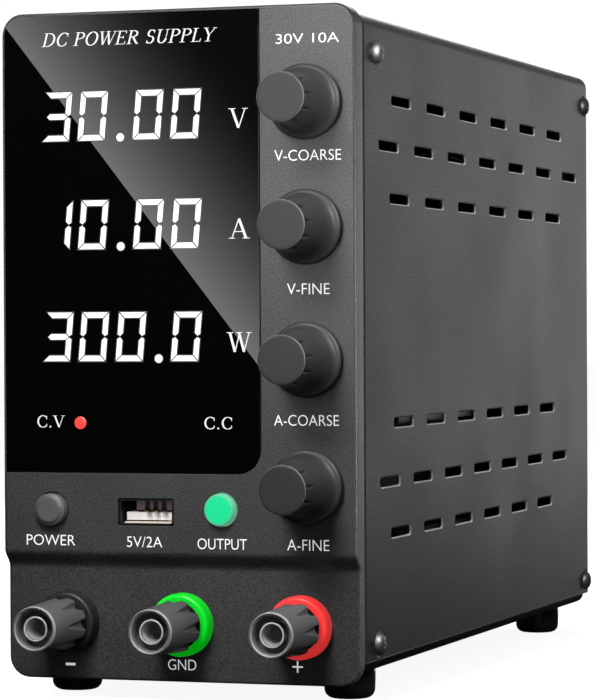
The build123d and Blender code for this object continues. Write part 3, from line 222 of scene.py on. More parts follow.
MATERIALS = {
    "bezel": speckled("bezel_texture", 0.045, 0.46, 0.6, 2600, 0.35, 0.035, 40, edge=0.25),
    "paint": speckled("powder_coat", 0.039, 0.46, 0.95, 1700, 0.45, 0.06, 25, edge=0.3),
    # a much lighter coat for bevel faces: painted highlights
    "paint_edge_highlight": speckled("powder_coat_edge_highlight", 0.55, 0.46, 0.3, 1700, 0.3, 0.05, 25),
    "base": speckled("base_coat", 0.02, 0.42, 0.2, 1700, 0.3, 0.05, 25),
    "lens": speckled("lens_acrylic", 0.001, 0.004, 0.1, 400, 0.0, 0.0, 8, gloss_spread=0.0),
    "knob": speckled("knob_plastic", 0.026, 0.45, 0.12, 3000, 0.12, 0.02, 120, specular=0.35, edge=0.2),
    "knob_face": speckled("knob_face", 0.019, 0.6, 0.06, 3000, 0.1, 0.02, 120, specular=0.3),
    # a lighter plastic for the knob nose's rounded rim: a painted highlight
    "knob_rim_highlight": speckled("knob_rim_highlight", 0.11, 0.5, 0.06, 3000, 0.1, 0.02, 120),
    "cap": speckled("post_cap", 0.10, 0.36, 0.12, 3000, 0.12, 0.02, 120, edge=0.25),
    # a lighter plastic for the caps' narrow chamfers: painted highlights
    "cap_edge_highlight": speckled("cap_edge_highlight", 0.32, 0.4, 0.08, 3000, 0.12, 0.02, 120),
    # a whitish non-metal band for the tube's mouth: a painted highlight
    "tube_rim_highlight": speckled("tube_rim_highlight", (0.62, 0.61, 0.60), 0.3, 0.05, 2500, 0.08, 0.01, 300),
    "bore": speckled("turned_bore", (0.32, 0.32, 0.32), 0.25, 0.1, 1500, 0.1, 0.01, 300,
                     stretch=(1, 12, 1)),
    "collar_negative": speckled("collar_black", 0.022, 0.4, 0.1, 2500, 0.1, 0.02, 100),
    "collar_ground": speckled("collar_green", (0.0, 0.70, 0.025), 0.35, 0.05, 2500, 0.05, 0.02, 100),
    "collar_positive": speckled("collar_red", (0.95, 0.03, 0.03), 0.35, 0.05, 2500, 0.05, 0.02, 100),
    "grey_button": speckled("button_grey", 0.095, 0.42, 0.08, 2600, 0.12, 0.02, 120, edge=0.2),
    "nickel": speckled("nickel", (0.36, 0.355, 0.35), 0.5, 0.06, 1500, 0.06, 0.01, 300, metallic=1.0),
    "tube": speckled("turned_tube", (0.72, 0.72, 0.71), 0.2, 0.05, 2500, 0.08, 0.01, 300, metallic=1.0,
                     stretch=(1, 12, 1)),
    "zinc": speckled("zinc_plate", (0.5, 0.5, 0.48), 0.35, 0.1, 900, 0.08, 0.01, 200, metallic=1.0),
    "dark_metal": speckled("black_oxide", 0.03, 0.35, 0.1, 1500, 0.08, 0.01, 200, metallic=0.6),
    "rubber": speckled("foot_rubber", 0.012, 0.3, 0.2, 2200, 0.3, 0.04, 90),
    "usb_steel": speckled("usb_steel", (0.66, 0.65, 0.64), 0.25, 0.05, 1500, 0.05, 0.01, 200,
                          metallic=1.0),
    # the socket's lip and throat glow: painted light in place of light falling into the socket
    "usb_lip": lit("usb_lip", (0.85, 0.70, 0.58), 0.45, 0.5),
    "usb_throat": lit("usb_throat", (0.10, 0.065, 0.075), 0.45, 0.6),
    "contact_dark": speckled("contact_dark", 0.004, 0.5, 0.1, 2000, 0.05, 0.01, 200, specular=0.2),
    "usb_white": speckled("usb_white", (0.8, 0.8, 0.8), 0.35, 0.03, 2000, 0.05, 0.01, 200),
    "gold": speckled("contact_gold", (0.83, 0.6, 0.28), 0.25, 0.05, 2000, 0.05, 0.01, 200, metallic=1.0),
    "black_plastic": speckled("black_plastic", 0.018, 0.45, 0.15, 2200, 0.2, 0.03, 80),
    "red_plastic": speckled("red_plastic", (0.55, 0.02, 0.015), 0.35, 0.06, 2200, 0.1, 0.02, 80),
    "board": speckled("solder_mask", (0.01, 0.11, 0.035), 0.3, 0.15, 500, 0.05, 0.02, 60, coat=0.3),
    "aluminium": speckled("heatsink", (0.6, 0.6, 0.61), 0.35, 0.08, 1200, 0.1, 0.02, 100, metallic=1.0,
                          stretch=(1, 0.05, 1)),
    "brass": speckled("brass", (0.7, 0.5, 0.2), 0.28, 0.08, 1500, 0.05, 0.01, 200, metallic=1.0),
    "ferrite": speckled("ferrite", (0.05, 0.045, 0.03), 0.6, 0.25, 900, 0.2, 0.04, 80),
    "sleeve": speckled("capacitor_sleeve", (0.015, 0.02, 0.05), 0.25, 0.08, 900, 0.05, 0.02, 80, coat=0.4),
    "green_plastic": speckled("terminal_green", (0.02, 0.2, 0.06), 0.45, 0.1, 1500, 0.1, 0.02, 80),
    "insulation": speckled("lead_insulation", 0.03, 0.45, 0.12, 1500, 0.1, 0.02, 80),
    # printed white ink that glows: painted light, as print is no lamp
    "ink": lit("white_ink", (0.9, 0.9, 0.9), 0.55, 0.8),
    "digit": lit("digit_light", (1.0, 1.0, 1.0), 1.05),
    "glow": lit("digit_halo", (0.75, 0.70, 0.80), 0.10, 0.02),
    # letters printed on the lens that glow: painted light, as they are no lamp
    "letter": lit("letter_light", (0.9, 0.9, 0.9), 0.8),
    "red_light": lit("red_light", (1.0, 0.06, 0.05), 1.1),
    "dark_light": speckled("led_off", 0.003, 0.6, 0.1, 900, 0.0, 0.0, 60, specular=0.1),
    "green_light": lit("green_light", (0.01, 0.75, 0.30), 0.75),
    "green_side": lit("green_side", (0.25, 0.80, 0.50), 0.40),
}

# The green and red plastic collars glow: painted light that makes them look brightly lit.
for collar, colour, strength in (("collar_ground", (0.0, 0.60, 0.01), 0.42),
                                 ("collar_positive", (0.85, 0.045, 0.045), 0.55)):
    collar_glow_shader = MATERIALS[collar].node_tree.nodes["Principled BSDF"]
    collar_glow_shader.inputs["Emission Color"].default_value = (*colour, 1)
    collar_glow_shader.inputs["Emission Strength"].default_value = strength

CAD_MATERIALS = {
    "zinc_plate": "zinc", "base_paint": "base", "nickel_screws": "nickel", "zinc_screws": "zinc",
    "black_screws": "dark_metal", "foot_rubber": "rubber", "digit_block": "black_plastic",
    "led_lit_red": "red_light", "led_unlit": "dark_light", "circuit_board": "board", "pot_metal": "zinc",
    "nickel_nuts": "nickel", "shaft_metal": "aluminium", "knob_plastic": "knob",
    "power_button_plastic": "grey_button", "output_button_lit": "green_light",
    "switch_plastic": "black_plastic", "usb_steel": "usb_steel", "usb_plastic": "usb_white",
    "contact_gold": "gold", "post_cap_black": "cap", "post_black": "collar_negative",
    "post_green": "collar_ground", "post_red": "collar_positive", "washer_nickel": "dark_metal",
    "stud_nickel": "tube", "fan_plastic": "black_plastic", "guard_chrome": "nickel",
    "inlet_plastic": "black_plastic", "inlet_brass": "brass", "selector_red": "red_plastic",
    "standoff_brass": "brass", "heatsink_aluminium": "aluminium", "transformer_core": "ferrite",
    "capacitor_sleeve": "sleeve", "terminal_plastic": "green_plastic", "lead_insulation": "insulation",
    "bezel_plastic": "bezel", "lens_acrylic": "lens", "powder_coat": "paint",
}
for subpart in frame["record"]["subparts"]:
    node = NODES[subpart["node"]]
    node.data.materials.clear()
    node.data.materials.append(MATERIALS[CAD_MATERIALS[subpart["material_slot"]]])


# ---- mesh building
def finish_piece(name, mesh, material, body=ENCLOSURE, angle=35, from_slab=False):
    """An object that rides on its body, smooth up to an angle; a slab's flat faces stay flat."""
    mesh.validate()
    mesh.polygons.foreach_set("use_smooth", [True] * len(mesh.polygons))
    if from_slab:
        flat_normals(mesh)
    else:
        mesh.set_sharp_from_angle(angle=radians(angle))
    piece = linked(name, mesh)
    if not mesh.materials:
        mesh.materials.append(MATERIALS[material])
    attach(piece, body)
    return piece


def stands_for(piece, node):
    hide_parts(node)


def mesh_from(name, vertices, faces):
    mesh = bpy.data.meshes.new(name)
    mesh.from_pydata(vertices, [], faces)
    return mesh


def mesh_of(bm, name):
    """A bmesh's mesh, with its faces turned outwards."""
    bmesh.ops.recalc_face_normals(bm, faces=bm.faces)
    mesh = bpy.data.meshes.new(name)
    bm.to_mesh(mesh)
    bm.free()
    return mesh


def turned_out(mesh):
    """The same mesh with its faces turned outwards."""
    bm = bmesh.new()
    bm.from_mesh(mesh)
    bmesh.ops.recalc_face_normals(bm, faces=bm.faces)
    bm.to_mesh(mesh)
    bm.free()
    return mesh


def evaluated_mesh(holder):
    """The mesh that an object ends up with; the object goes."""
    bpy.context.view_layer.update()
    mesh = bpy.data.meshes.new_from_object(holder.evaluated_get(bpy.context.evaluated_depsgraph_get()))
    bpy.data.objects.remove(holder)
    return mesh


def bowl(cx, cz, rx, rz, start, end, steps=14):
    """Points of an elliptical arc, with its angles in degrees."""
    return [(cx + rx * cos(radians(start + (end - start) * i / steps)),
             cz + rz * sin(radians(start + (end - start) * i / steps))) for i in range(steps + 1)]


def arc(cx, cz, radius, start, end, steps=8):
    return bowl(cx, cz, radius, radius, start, end, steps)


def rounded(x1, x2, z1, z2, radii, steps=8):
    """Outline of a rectangle; radii are for the lower left, lower right, upper right, upper left."""
    if not isinstance(radii, tuple):
        radii = (radii,) * 4
    ll, lr, ur, ul = radii
    return (arc(x1 + ll, z1 + ll, ll, 180, 270, steps) + arc(x2 - lr, z1 + lr, lr, 270, 360, steps)
            + arc(x2 - ur, z2 - ur, ur, 0, 90, steps) + arc(x1 + ul, z2 - ul, ul, 90, 180, steps))


def circle(cx, cz, radius, steps=64):
    return arc(cx, cz, radius, 0, 360 * (steps - 1) / steps, steps - 1)


def hoop(cx, y, cz, radius, steps):
    """Points of a circle in the plane y."""
    return [(cx + radius * cos(2 * pi * k / steps), y, cz + radius * sin(2 * pi * k / steps))
            for k in range(steps)]


def outward(outline):
    """Unit normals of a closed outline that runs anticlockwise."""
    normals = []
    for i, (x, y) in enumerate(outline):
        (x1, y1), (x2, y2) = outline[i - 1], outline[(i + 1) % len(outline)]
        length = hypot(x2 - x1, y2 - y1)
        normals.append(((y2 - y1) / length, -(x2 - x1) / length))
    return normals


def slab(outlines, thickness, edges, cuts=()):
    """A bmesh of a flat slab with holes, lying in local XY from z = 0 down to z = -thickness.

    The first outline is the outside. edges are the roundings of each outline's front edge.
    cuts are (point, normal) planes that add edge loops. Flat faces are marked in a layer."""
    inset = []
    for k, (outline, edge) in enumerate(zip(outlines, edges)):
        side = -1 if k == 0 else 1
        inset.append([(x + side * edge * nx, y + side * edge * ny)
                      for (x, y), (nx, ny) in zip(outline, outward(outline))])
    curve = bpy.data.curves.new("slab", "CURVE")
    curve.dimensions = "2D"
    curve.fill_mode = "BOTH"
    for outline in inset:
        spline = curve.splines.new("POLY")
        spline.points.add(len(outline) - 1)
        for point, (x, y) in zip(spline.points, outline):
            point.co = (x, y, 0, 1)
        spline.use_cyclic_u = True
    mesh = evaluated_mesh(linked("slab", curve))
    bm = bmesh.new()
    bm.from_mesh(mesh)
    bpy.data.curves.remove(curve)
    bpy.data.meshes.remove(mesh)
    flat = bm.faces.layers.int.new("flat")
    for face in bm.faces:
        face[flat] = 1
    copied = bmesh.ops.duplicate(bm, geom=bm.faces[:])["geom"]
    bmesh.ops.translate(bm, verts=[g for g in copied if isinstance(g, bmesh.types.BMVert)],
                        vec=(0, 0, -thickness))
    for k, (outline, line, edge) in enumerate(zip(outlines, inset, edges)):
        rows = []
        for turn in (0, 18, 36, 54, 72, 90):
            out, down = sin(radians(turn)), 1 - cos(radians(turn))
            rows.append([bm.verts.new((a + (x - a) * out, b + (y - b) * out, -edge * down))
                         for (a, b), (x, y) in zip(line, outline)])
        for turn in (90, 45, 0):
            out, down = sin(radians(turn)), 1 - cos(radians(turn))
            rows.append([bm.verts.new((a + (x - a) * out, b + (y - b) * out, edge * down - thickness))
                         for (a, b), (x, y) in zip(line, outline)])
        for near, far in zip(rows, rows[1:]):
            for i in range(len(line)):
                j = (i + 1) % len(line)
                bm.faces.new((near[i], near[j], far[j], far[i]))
    bmesh.ops.remove_doubles(bm, verts=bm.verts, dist=2e-6)
    for point, normal in cuts:
        everything = bm.verts[:] + bm.edges[:] + bm.faces[:]
        bmesh.ops.bisect_plane(bm, geom=everything, dist=1e-7, plane_co=point, plane_no=normal)
    bmesh.ops.recalc_face_normals(bm, faces=bm.faces)
    return bm


def flat_normals(mesh):
    """Corner normals that take only the flat faces' direction wherever a flat face meets a rounding."""
    flags = [item.value for item in mesh.attributes["flat"].data]
    flat_sum = [Vector() for _ in mesh.vertices]
    round_sum = [Vector() for _ in mesh.vertices]
    for face, flag in zip(mesh.polygons, flags):
        for v in face.vertices:
            (flat_sum if flag else round_sum)[v] += face.normal * face.area
    normals = [(a if a.length_squared > 0 else b).normalized() for a, b in zip(flat_sum, round_sum)]
    mesh.normals_split_custom_set_from_vertices(normals)


def placed(bm, name, move):
    """A mesh from a bmesh whose every vertex goes through move(x, y, z)."""
    for vertex in bm.verts:
        vertex.co = move(*vertex.co)
    return mesh_of(bm, name)


def slab_piece(name, bm, move, material):
    """A slab put in its place as a piece of the enclosure."""
    return finish_piece(name, placed(bm, name, move), material, from_slab=True)


def facing_front(y):
    """Stands a slab up against the plane y, with its local top to the front."""
    return lambda u, v, h: (u, y - h, v)


def lathe(name, profile, axis, material, body=ENCLOSURE, segments=96, angle=35, shape=None, closed=False):
    """Turns (radius, y) points about an axis along Y. shape(radius, y, angle) may change a radius."""
    cx, cz = axis
    vertices, rows = [], []
    for radius, y in profile:
        if radius < 1e-7:
            rows.append([len(vertices)] * segments)
            vertices.append((cx, y, cz))
            continue
        rows.append(list(range(len(vertices), len(vertices) + segments)))
        for i in range(segments):
            around = 2 * pi * i / segments
            r = shape(radius, y, around) if shape else radius
            vertices.append((cx + r * cos(around), y, cz + r * sin(around)))
    faces = []
    pairs = list(zip(rows, rows[1:])) + ([(rows[-1], rows[0])] if closed else [])
    for near, far in pairs:
        for i in range(segments):
            j = (i + 1) % segments
            corners = [near[i], near[j], far[j], far[i]]
            ring = [c for n, c in enumerate(corners) if c not in corners[:n]]
            if len(ring) > 2:
                faces.append(ring)
    return finish_piece(name, turned_out(mesh_from(name, vertices, faces)), material, body, angle)


def smoothed(points, most):
    """The profile with extra points so that no run is longer than most."""
    out = [points[0]]
    for (r1, y1), (r2, y2) in zip(points, points[1:]):
        parts = max(1, round(hypot(r2 - r1, y2 - y1) / most))
        out += [(r1 + (r2 - r1) * i / parts, y1 + (y2 - y1) * i / parts) for i in range(1, parts + 1)]
    return out


def ease(t):
    t = min(1.0, max(0.0, t))
    return t * t * (3 - 2 * t)


# ---- bezel and lens
EDGE = 0.15 * MM
OUTER_EDGE = 0.7 * MM
GROOVE = 0.16 * MM
STEP_LOW_Z, STEP_HIGH_Z = BEZEL[0].z + 26.4 * MM, BEZEL[0].z + 29.4 * MM
BUTTON_GAP = 0.25 * MM
BEZEL_CORNER = 5.0 * MM
LENS_CORNER = 5.5 * MM


def lens_outline(gap):
    low, high = LENS
    upper = BEZEL_CORNER - (low.x - BEZEL[0].x) + gap
    return rounded(low.x - gap, high.x + gap, low.z - gap, high.z + gap,
                   (0.4 * MM, LENS_CORNER + gap, 0.4 * MM, upper))


def button_hole(node, radius):
    x, z = on_axis(node)
    return circle(x, z, radius + BUTTON_GAP)


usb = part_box("usb_shell")
USB_GAP = 0.25 * MM
bezel_outlines = [
    rounded(BEZEL[0].x, BEZEL[1].x, BEZEL[0].z, BEZEL[1].z, BEZEL_CORNER),
    lens_outline(GROOVE),
    button_hole("power_button", 3.75 * MM),
    button_hole("output_button", 3.7 * MM),
    rounded(usb[0].x - USB_GAP, usb[1].x + USB_GAP, usb[0].z - USB_GAP, usb[1].z + USB_GAP, 0.3 * MM),
]
STEP_ROWS = 18
step_cuts = [((0, STEP_LOW_Z - MM + (STEP_HIGH_Z - STEP_LOW_Z + 2 * MM) * i / STEP_ROWS, 0), (0, 1, 0))
             for i in range(STEP_ROWS + 1)]
bezel_depth = BEZEL[1].y - BEZEL[0].y
bezel_bm = slab(bezel_outlines, bezel_depth, [OUTER_EDGE] + [EDGE] * 4, step_cuts)


def bezel_shape(u, v, h):
    """The front half follows the step; the back stays flat."""
    down = 1 - ease((v - STEP_LOW_Z + 0.6 * MM) / (STEP_HIGH_Z - STEP_LOW_Z + 1.2 * MM))
    front = 1.0 if h > -bezel_depth / 2 else 0.0
    return u, FACE_Y - h + STEP_BACK * down * front, v


bezel = slab_piece("bezel_shell", bezel_bm, bezel_shape, "bezel")
stands_for(bezel, "front_bezel")

LENS_EDGE = 0.12 * MM
lens_bm = slab([lens_outline(0)], LENS[1].y - LENS[0].y, [LENS_EDGE])
lens = slab_piece("lens_panel", lens_bm, facing_front(LENS[0].y), "lens")
stands_for(lens, "display_lens")


# ---- seven-segment digits
DIGIT_WIDTH, DIGIT_HEIGHT = 6.6 * MM, 11.2 * MM
STROKE = 1.25 * MM
SEGMENT_GAP = 0.2 * MM
HALO = 0.22 * MM
SLANT = tan(radians(5))
SEGMENTS = {"0": "abcdef", "1": "bc", "3": "abgcd"}


def segment_shape(name, grow=0.0):
    """The corners of one segment about the digit's middle, mitred at the digit's corners."""
    w, h, s, g = DIGIT_WIDTH / 2 + grow, DIGIT_HEIGHT / 2 + grow, STROKE + 2 * grow, SEGMENT_GAP - grow
    if name in "ad":
        shape = [(-w + g, h), (w - g, h), (w - s - g, h - s), (-w + s + g, h - s)]
        return shape if name == "a" else [(x, -z) for x, z in shape]
    if name == "g":
        return [(-w + s / 2 + g, 0), (-w + s + g, s / 2), (w - s - g, s / 2), (w - s / 2 - g, 0),
                (w - s - g, -s / 2), (-w + s + g, -s / 2)]
    shape = [(w, h - g), (w, s * 0.28 + g), (w - s * 0.5, g), (w - s, s * 0.5 + g), (w - s, h - s - g)]
    flip_x, flip_z = (-1 if name in "ef" else 1), (-1 if name in "ce" else 1)
    return [(x * flip_x, z * flip_z) for x, z in shape]


INLAY = 0.03 * MM       # printed and lit marks stand proud by this


def prism(bm, points, y, depth):
    """Adds a thin prism whose front outline is points (x, z) at y."""
    front = [bm.verts.new((x, y, z)) for x, z in points]
    back = [bm.verts.new((x, y + depth, z)) for x, z in points]
    bm.faces.new(front)
    bm.faces.new(back[::-1])
    for i in range(len(points)):
        j = (i + 1) % len(points)
        bm.faces.new((front[i], back[i], back[j], front[j]))


def mark_piece(name, bm, material):
    return finish_piece(name, mesh_of(bm, name), material, angle=20)


# Each row: its digits with their middles from the lens's left edge, and its point.
LENS_LEFT = LENS[0].x
ROWS = {
    "volts": ("3000", (13.3, 22.15, 35.75, 44.95), 28.9),
    "amps": ("1000", (13.3, 22.15, 35.75, 44.95), 28.9),
    "watts": ("3000", (13.3, 22.15, 31.3, 44.85), 38.1),
}
DOT_RADIUS = 0.93 * MM
for row, (digits, middles, dot) in ROWS.items():
    row_z = centre(f"{row}_display").z
    for piece, material, grow, proud in (("digits", "digit", 0.0, INLAY),
                                         ("glow", "glow", HALO, 0.3 * INLAY)):
        bm = bmesh.new()
        for digit, middle in zip(digits, middles):
            for n, segment in enumerate(SEGMENTS[digit]):
                shape = [(LENS_LEFT + middle * MM + x + z * SLANT, row_z + z)
                         for x, z in segment_shape(segment, grow)]
                prism(bm, shape, LENS[0].y - proud - n * 2e-7, 2 * INLAY)
        dot_z = row_z - DIGIT_HEIGHT / 2 + DOT_RADIUS * 0.6
        prism(bm, circle(LENS_LEFT + dot * MM, dot_z, DOT_RADIUS + grow, 24), LENS[0].y - proud, 2 * INLAY)
        mark_piece(f"{row}_{piece}", bm, material)

LAMP_DOME = [(0, -0.25), (0.7, -0.22), (1.15, -0.14), (1.45, 0), (1.45, INLAY / MM)]
lathe("cv_led_window", [(r * MM, LENS[0].y + y * MM) for r, y in LAMP_DOME], on_axis("cv_led"), "red_light",
      segments=48)


# ---- serif lettering on the lens
THICK, THIN, SERIF, SPACING = 0.105, 0.042, 0.034, 0.06


# Glyphs on a cap height of one: strokes of a weight through points, then serifs (x, z, half width).
STEM = ("thick", [(0.15, 0), (0.15, 1)])
STEM_SERIFS = [(0.13, 1, 0.13), (0.13, 0, 0.13)]
GLYPHS = {
    "A": (0.72, [("thin", [(0.36, 1.0), (0.07, 0.02)]), ("thick", [(0.36, 1.0), (0.65, 0.02)]),
                 ("thin", [(0.17, 0.35), (0.55, 0.35)])], [(0.07, 0, 0.13), (0.66, 0, 0.15)]),
    "C": (0.72, [("round", bowl(0.41, 0.5, 0.33, 0.49, 48, 312)), ("thin", [(0.655, 0.96), (0.655, 0.68)]),
                 ("thin", [(0.655, 0.30), (0.655, 0.10)])], []),
    "D": (0.80, [STEM, ("round", bowl(0.32, 0.5, 0.38, 0.48, 90, -90)),
                 ("thin", [(0.12, 0.975), (0.34, 0.975)]), ("thin", [(0.12, 0.025), (0.34, 0.025)])],
          STEM_SERIFS),
    "E": (0.66, [STEM, ("thin", [(0.12, 0.975), (0.56, 0.975)]),
                 ("thin", [(0.15, 0.52), (0.43, 0.52)]), ("thin", [(0.12, 0.025), (0.58, 0.025)]),
                 ("thin", [(0.56, 0.99), (0.56, 0.80)]), ("thin", [(0.43, 0.62), (0.43, 0.42)]),
                 ("thin", [(0.59, 0.01), (0.59, 0.22)])], STEM_SERIFS),
    "L": (0.62, [STEM, ("thin", [(0.12, 0.025), (0.56, 0.025)]),
                 ("thin", [(0.57, 0.01), (0.57, 0.24)])], [(0.15, 1, 0.16), (0.13, 0, 0.13)]),
    "O": (0.80, [("round", bowl(0.40, 0.5, 0.33, 0.49, 0, 360, 28))], []),
    "P": (0.64, [STEM, ("round", bowl(0.30, 0.745, 0.26, 0.23, 90, -90)),
                 ("thin", [(0.12, 0.975), (0.31, 0.975)]), ("thin", [(0.15, 0.51), (0.31, 0.51)])],
          [(0.13, 1, 0.13), (0.15, 0, 0.16)]),
    "R": (0.74, [STEM, ("round", bowl(0.30, 0.755, 0.25, 0.22, 90, -90)),
                 ("thin", [(0.12, 0.975), (0.31, 0.975)]), ("thin", [(0.15, 0.53), (0.31, 0.53)]),
                 ("thick", [(0.32, 0.53), (0.64, 0.02)])],
          [(0.13, 1, 0.13), (0.15, 0, 0.16), (0.67, 0, 0.08)]),
    "S": (0.56, [("round", bowl(0.28, 0.745, 0.19, 0.235, 40, 270)),
                 ("round", bowl(0.28, 0.265, 0.20, 0.245, 90, -140)),
                 ("thin", [(0.45, 0.98), (0.45, 0.76)]), ("thin", [(0.10, 0.02), (0.10, 0.24)])], []),
    "U": (0.78, [("thick", [(0.17, 0.34), (0.17, 1)]), ("round", bowl(0.40, 0.32, 0.23, 0.31, 180, 360)),
                 ("thin", [(0.63, 0.32), (0.63, 1)])], [(0.17, 1, 0.16), (0.63, 1, 0.12)]),
    "V": (0.74, [("thick", [(0.09, 0.98), (0.37, 0.02)]), ("thin", [(0.65, 0.98), (0.37, 0.0)])],
          [(0.09, 1, 0.15), (0.65, 1, 0.12)]),
    "W": (1.02, [("thick", [(0.09, 0.98), (0.31, 0.02)]), ("thin", [(0.52, 0.98), (0.31, 0.0)]),
                 ("thick", [(0.49, 0.98), (0.71, 0.02)]), ("thin", [(0.93, 0.98), (0.71, 0.0)])],
          [(0.09, 1, 0.14), (0.50, 1, 0.13), (0.93, 1, 0.12)]),
    "Y": (0.72, [("thick", [(0.09, 0.98), (0.36, 0.46)]), ("thin", [(0.64, 0.98), (0.37, 0.46)]),
                 ("thick", [(0.36, 0.48), (0.36, 0)])], [(0.09, 1, 0.15), (0.64, 1, 0.12), (0.36, 0, 0.17)]),
    ".": (0.28, [("thick", [(0.13, 0.0), (0.13, 0.13)])], []),
    " ": (0.30, [], []),
}


def stroke_width(weight, dx, dz):
    if weight == "round":
        return THIN + (THICK * 1.05 - THIN) * abs(dz) / (hypot(dx, dz) or 1)
    return {"thick": THICK, "thin": THIN}[weight]


def ribbon(points, weight):
    """Both edges of a stroke as one outline."""
    left, right_side = [], []
    for i, (x, z) in enumerate(points):
        x1, z1 = points[max(0, i - 1)]
        x2, z2 = points[min(len(points) - 1, i + 1)]
        dx, dz = x2 - x1, z2 - z1
        length = hypot(dx, dz) or 1
        # a slanted straight stroke keeps its width measured across the line
        half = stroke_width(weight, dx, dz) / 2
        left.append((x - dz / length * half, z + dx / length * half))
        right_side.append((x + dz / length * half, z - dx / length * half))
    return left, right_side


def letters(name, text, x, z, height, width, slant=0.0):
    """Serif letters on the lens, centred on x with their base at z, stretched to a width."""
    y = LENS[0].y
    total = sum(GLYPHS[c][0] + SPACING for c in text) - SPACING
    scale = width / total
    bm = bmesh.new()
    layer = 0

    def place(px, pz):
        return x - width / 2 + px * scale + pz * height * slant, z + pz * height

    start = 0.0
    for c in text:
        advance, strokes, serifs = GLYPHS[c]
        for weight, points in strokes:
            left, other = ribbon(points, weight)
            level_y = y - INLAY - layer * 1e-7
            for i in range(len(points) - 1):
                quad = [left[i], left[i + 1], other[i + 1], other[i]]
                prism(bm, [place(start + px, pz) for px, pz in quad], level_y, 2 * INLAY)
            layer += 1
        for sx, sz, half in serifs:
            low, high = (sz - SERIF, sz) if sz > 0.5 else (sz, sz + SERIF)
            quad = [(start + sx - half, low), (start + sx + half, low), (start + sx + half, high),
                    (start + sx - half, high)]
            prism(bm, [place(px, pz) for px, pz in quad], y - INLAY - layer * 1e-7, 2 * INLAY)
            layer += 1
        start += advance + SPACING
    # the printed letters glow as painted light
    return mark_piece(name, bm, "letter")


LENS_RIGHT = LENS[1].x
letters("title_letters", "DC POWER SUPPLY", LENS_LEFT + 30.6 * MM, 150.7 * MM, 3.1 * MM, 42.2 * MM, 0.27)
for unit, row in (("V", "volts"), ("A", "amps"), ("W", "watts")):
    letters(f"{row}_letter", unit, LENS_RIGHT - 4.9 * MM, centre(f"{row}_display").z - 3.6 * MM, 4.5 * MM,
            (5.6 if unit == "W" else 4.2) * MM)
for lamp, text, shift, drop in (("cv", "C.V", -7.4, -1.1), ("cc", "C.C", 7.7, -1.3)):
    x, z = on_axis(f"{lamp}_led")
    letters(f"{lamp}_letters", text, x + shift * MM, z + drop * MM, 2.75 * MM, 6.9 * MM)


# ---- printed labels
def label(name, text, x, z, height, width, y):
    """A plain sans label centred on (x, z), sized to a cap height and a width."""
    font = bpy.data.curves.new(name, "FONT")
    font.body = text
    font.offset = -0.008
    font.resolution_u = 6
    mesh = evaluated_mesh(linked(name, font))
    bpy.data.curves.remove(font)
    xs = [v.co.x for v in mesh.vertices]
    ys = [v.co.y for v in mesh.vertices]
    size_x, size_y = max(xs) - min(xs), max(ys) - min(ys)
    mid_x, mid_y = (max(xs) + min(xs)) / 2, (max(ys) + min(ys)) / 2
    bm = bmesh.new()
    bm.from_mesh(mesh)
    bpy.data.meshes.remove(mesh)
    for v in bm.verts:
        v.co = (x + (v.co.x - mid_x) * width / size_x, y - INLAY, z + (v.co.y - mid_y) * height / size_y)
    extruded = bmesh.ops.extrude_face_region(bm, geom=bm.faces[:])
    moved = [e for e in extruded["geom"] if isinstance(e, bmesh.types.BMVert)]
    bmesh.ops.translate(bm, verts=moved, vec=(0, 2 * INLAY, 0))
    # the printed ink glows as painted light
    return mark_piece(name, bm, "ink")


CAP = 2.45 * MM
KNOB_LABELS = {"volts_coarse": ("V-COARSE", 15.8, 0.4), "volts_fine": ("V-FINE", 10.1, 0.4),
               "amps_coarse": ("A-COARSE", 15.4, -0.2), "amps_fine": ("A-FINE", 10.0, 0.1)}
KNOB_LABEL_DROPS = {"volts_coarse": 12.0, "volts_fine": 14.0, "amps_coarse": 13.8, "amps_fine": 13.2}
for knob, (text, width, shift) in KNOB_LABELS.items():
    x, z = on_axis(f"{knob}_knob")
    label(f"{knob}_label", text, x + shift * MM, z - KNOB_LABEL_DROPS[knob] * MM, CAP, width * MM, FACE_Y)
# node: label, text, place from its axis, cap height and width in mm, and the plane it is printed on
NODE_LABELS = {"power_button": ("power", "POWER", -0.4, -7.1, CAP / MM, 12.1, FACE_Y),
               "usb_shell": ("usb", "5V/2A", -0.3, -6.8, CAP / MM, 8.7, FACE_Y),
               "output_button": ("output", "OUTPUT", 0.25, -7.8, CAP / MM, 11.9, FACE_Y),
               "negative_collar": ("negative", "-", 0, -9.9, 0.6, 2.4, TERMINAL_Y),
               "ground_collar": ("ground", "GND", -0.4, -9.3, CAP / MM, 6.9, TERMINAL_Y),
               "positive_collar": ("positive", "+", -1.0, -9.0, 2.65, 2.5, TERMINAL_Y)}
for node, (name, text, shift, drop, cap, width, y) in NODE_LABELS.items():
    x, z = on_axis(node)
    label(f"{name}_label", text, x + shift * MM, z + drop * MM, cap * MM, width * MM, y)
label("rating_label", "30V 10A", on_axis("volts_coarse_knob")[0] + 0.4 * MM, BEZEL[1].z - 7.8 * MM, 2.2 * MM,
      15.0 * MM, FACE_Y)


# ---- knobs
WIDE = 100      # a radius in mm outside every turned piece


def ring_faces(piece, nose, material, bands):
    """Puts another material on a turned piece's faces in bands (inner radius, outer, depth) in mm."""
    piece.data.materials.append(MATERIALS[material])
    index = len(piece.data.materials) - 1
    xs = [v.co.x for v in piece.data.vertices]
    zs = [v.co.z for v in piece.data.vertices]
    mid_x, mid_z = (max(xs) + min(xs)) / 2, (max(zs) + min(zs)) / 2
    for face in piece.data.polygons:
        away = sqrt((face.center.x - mid_x) ** 2 + (face.center.z - mid_z) ** 2) / MM
        depth = (face.center.y - nose) / MM
        if any(inner < away < outer and depth < deep for inner, outer, deep in bands):
            face.material_index = index


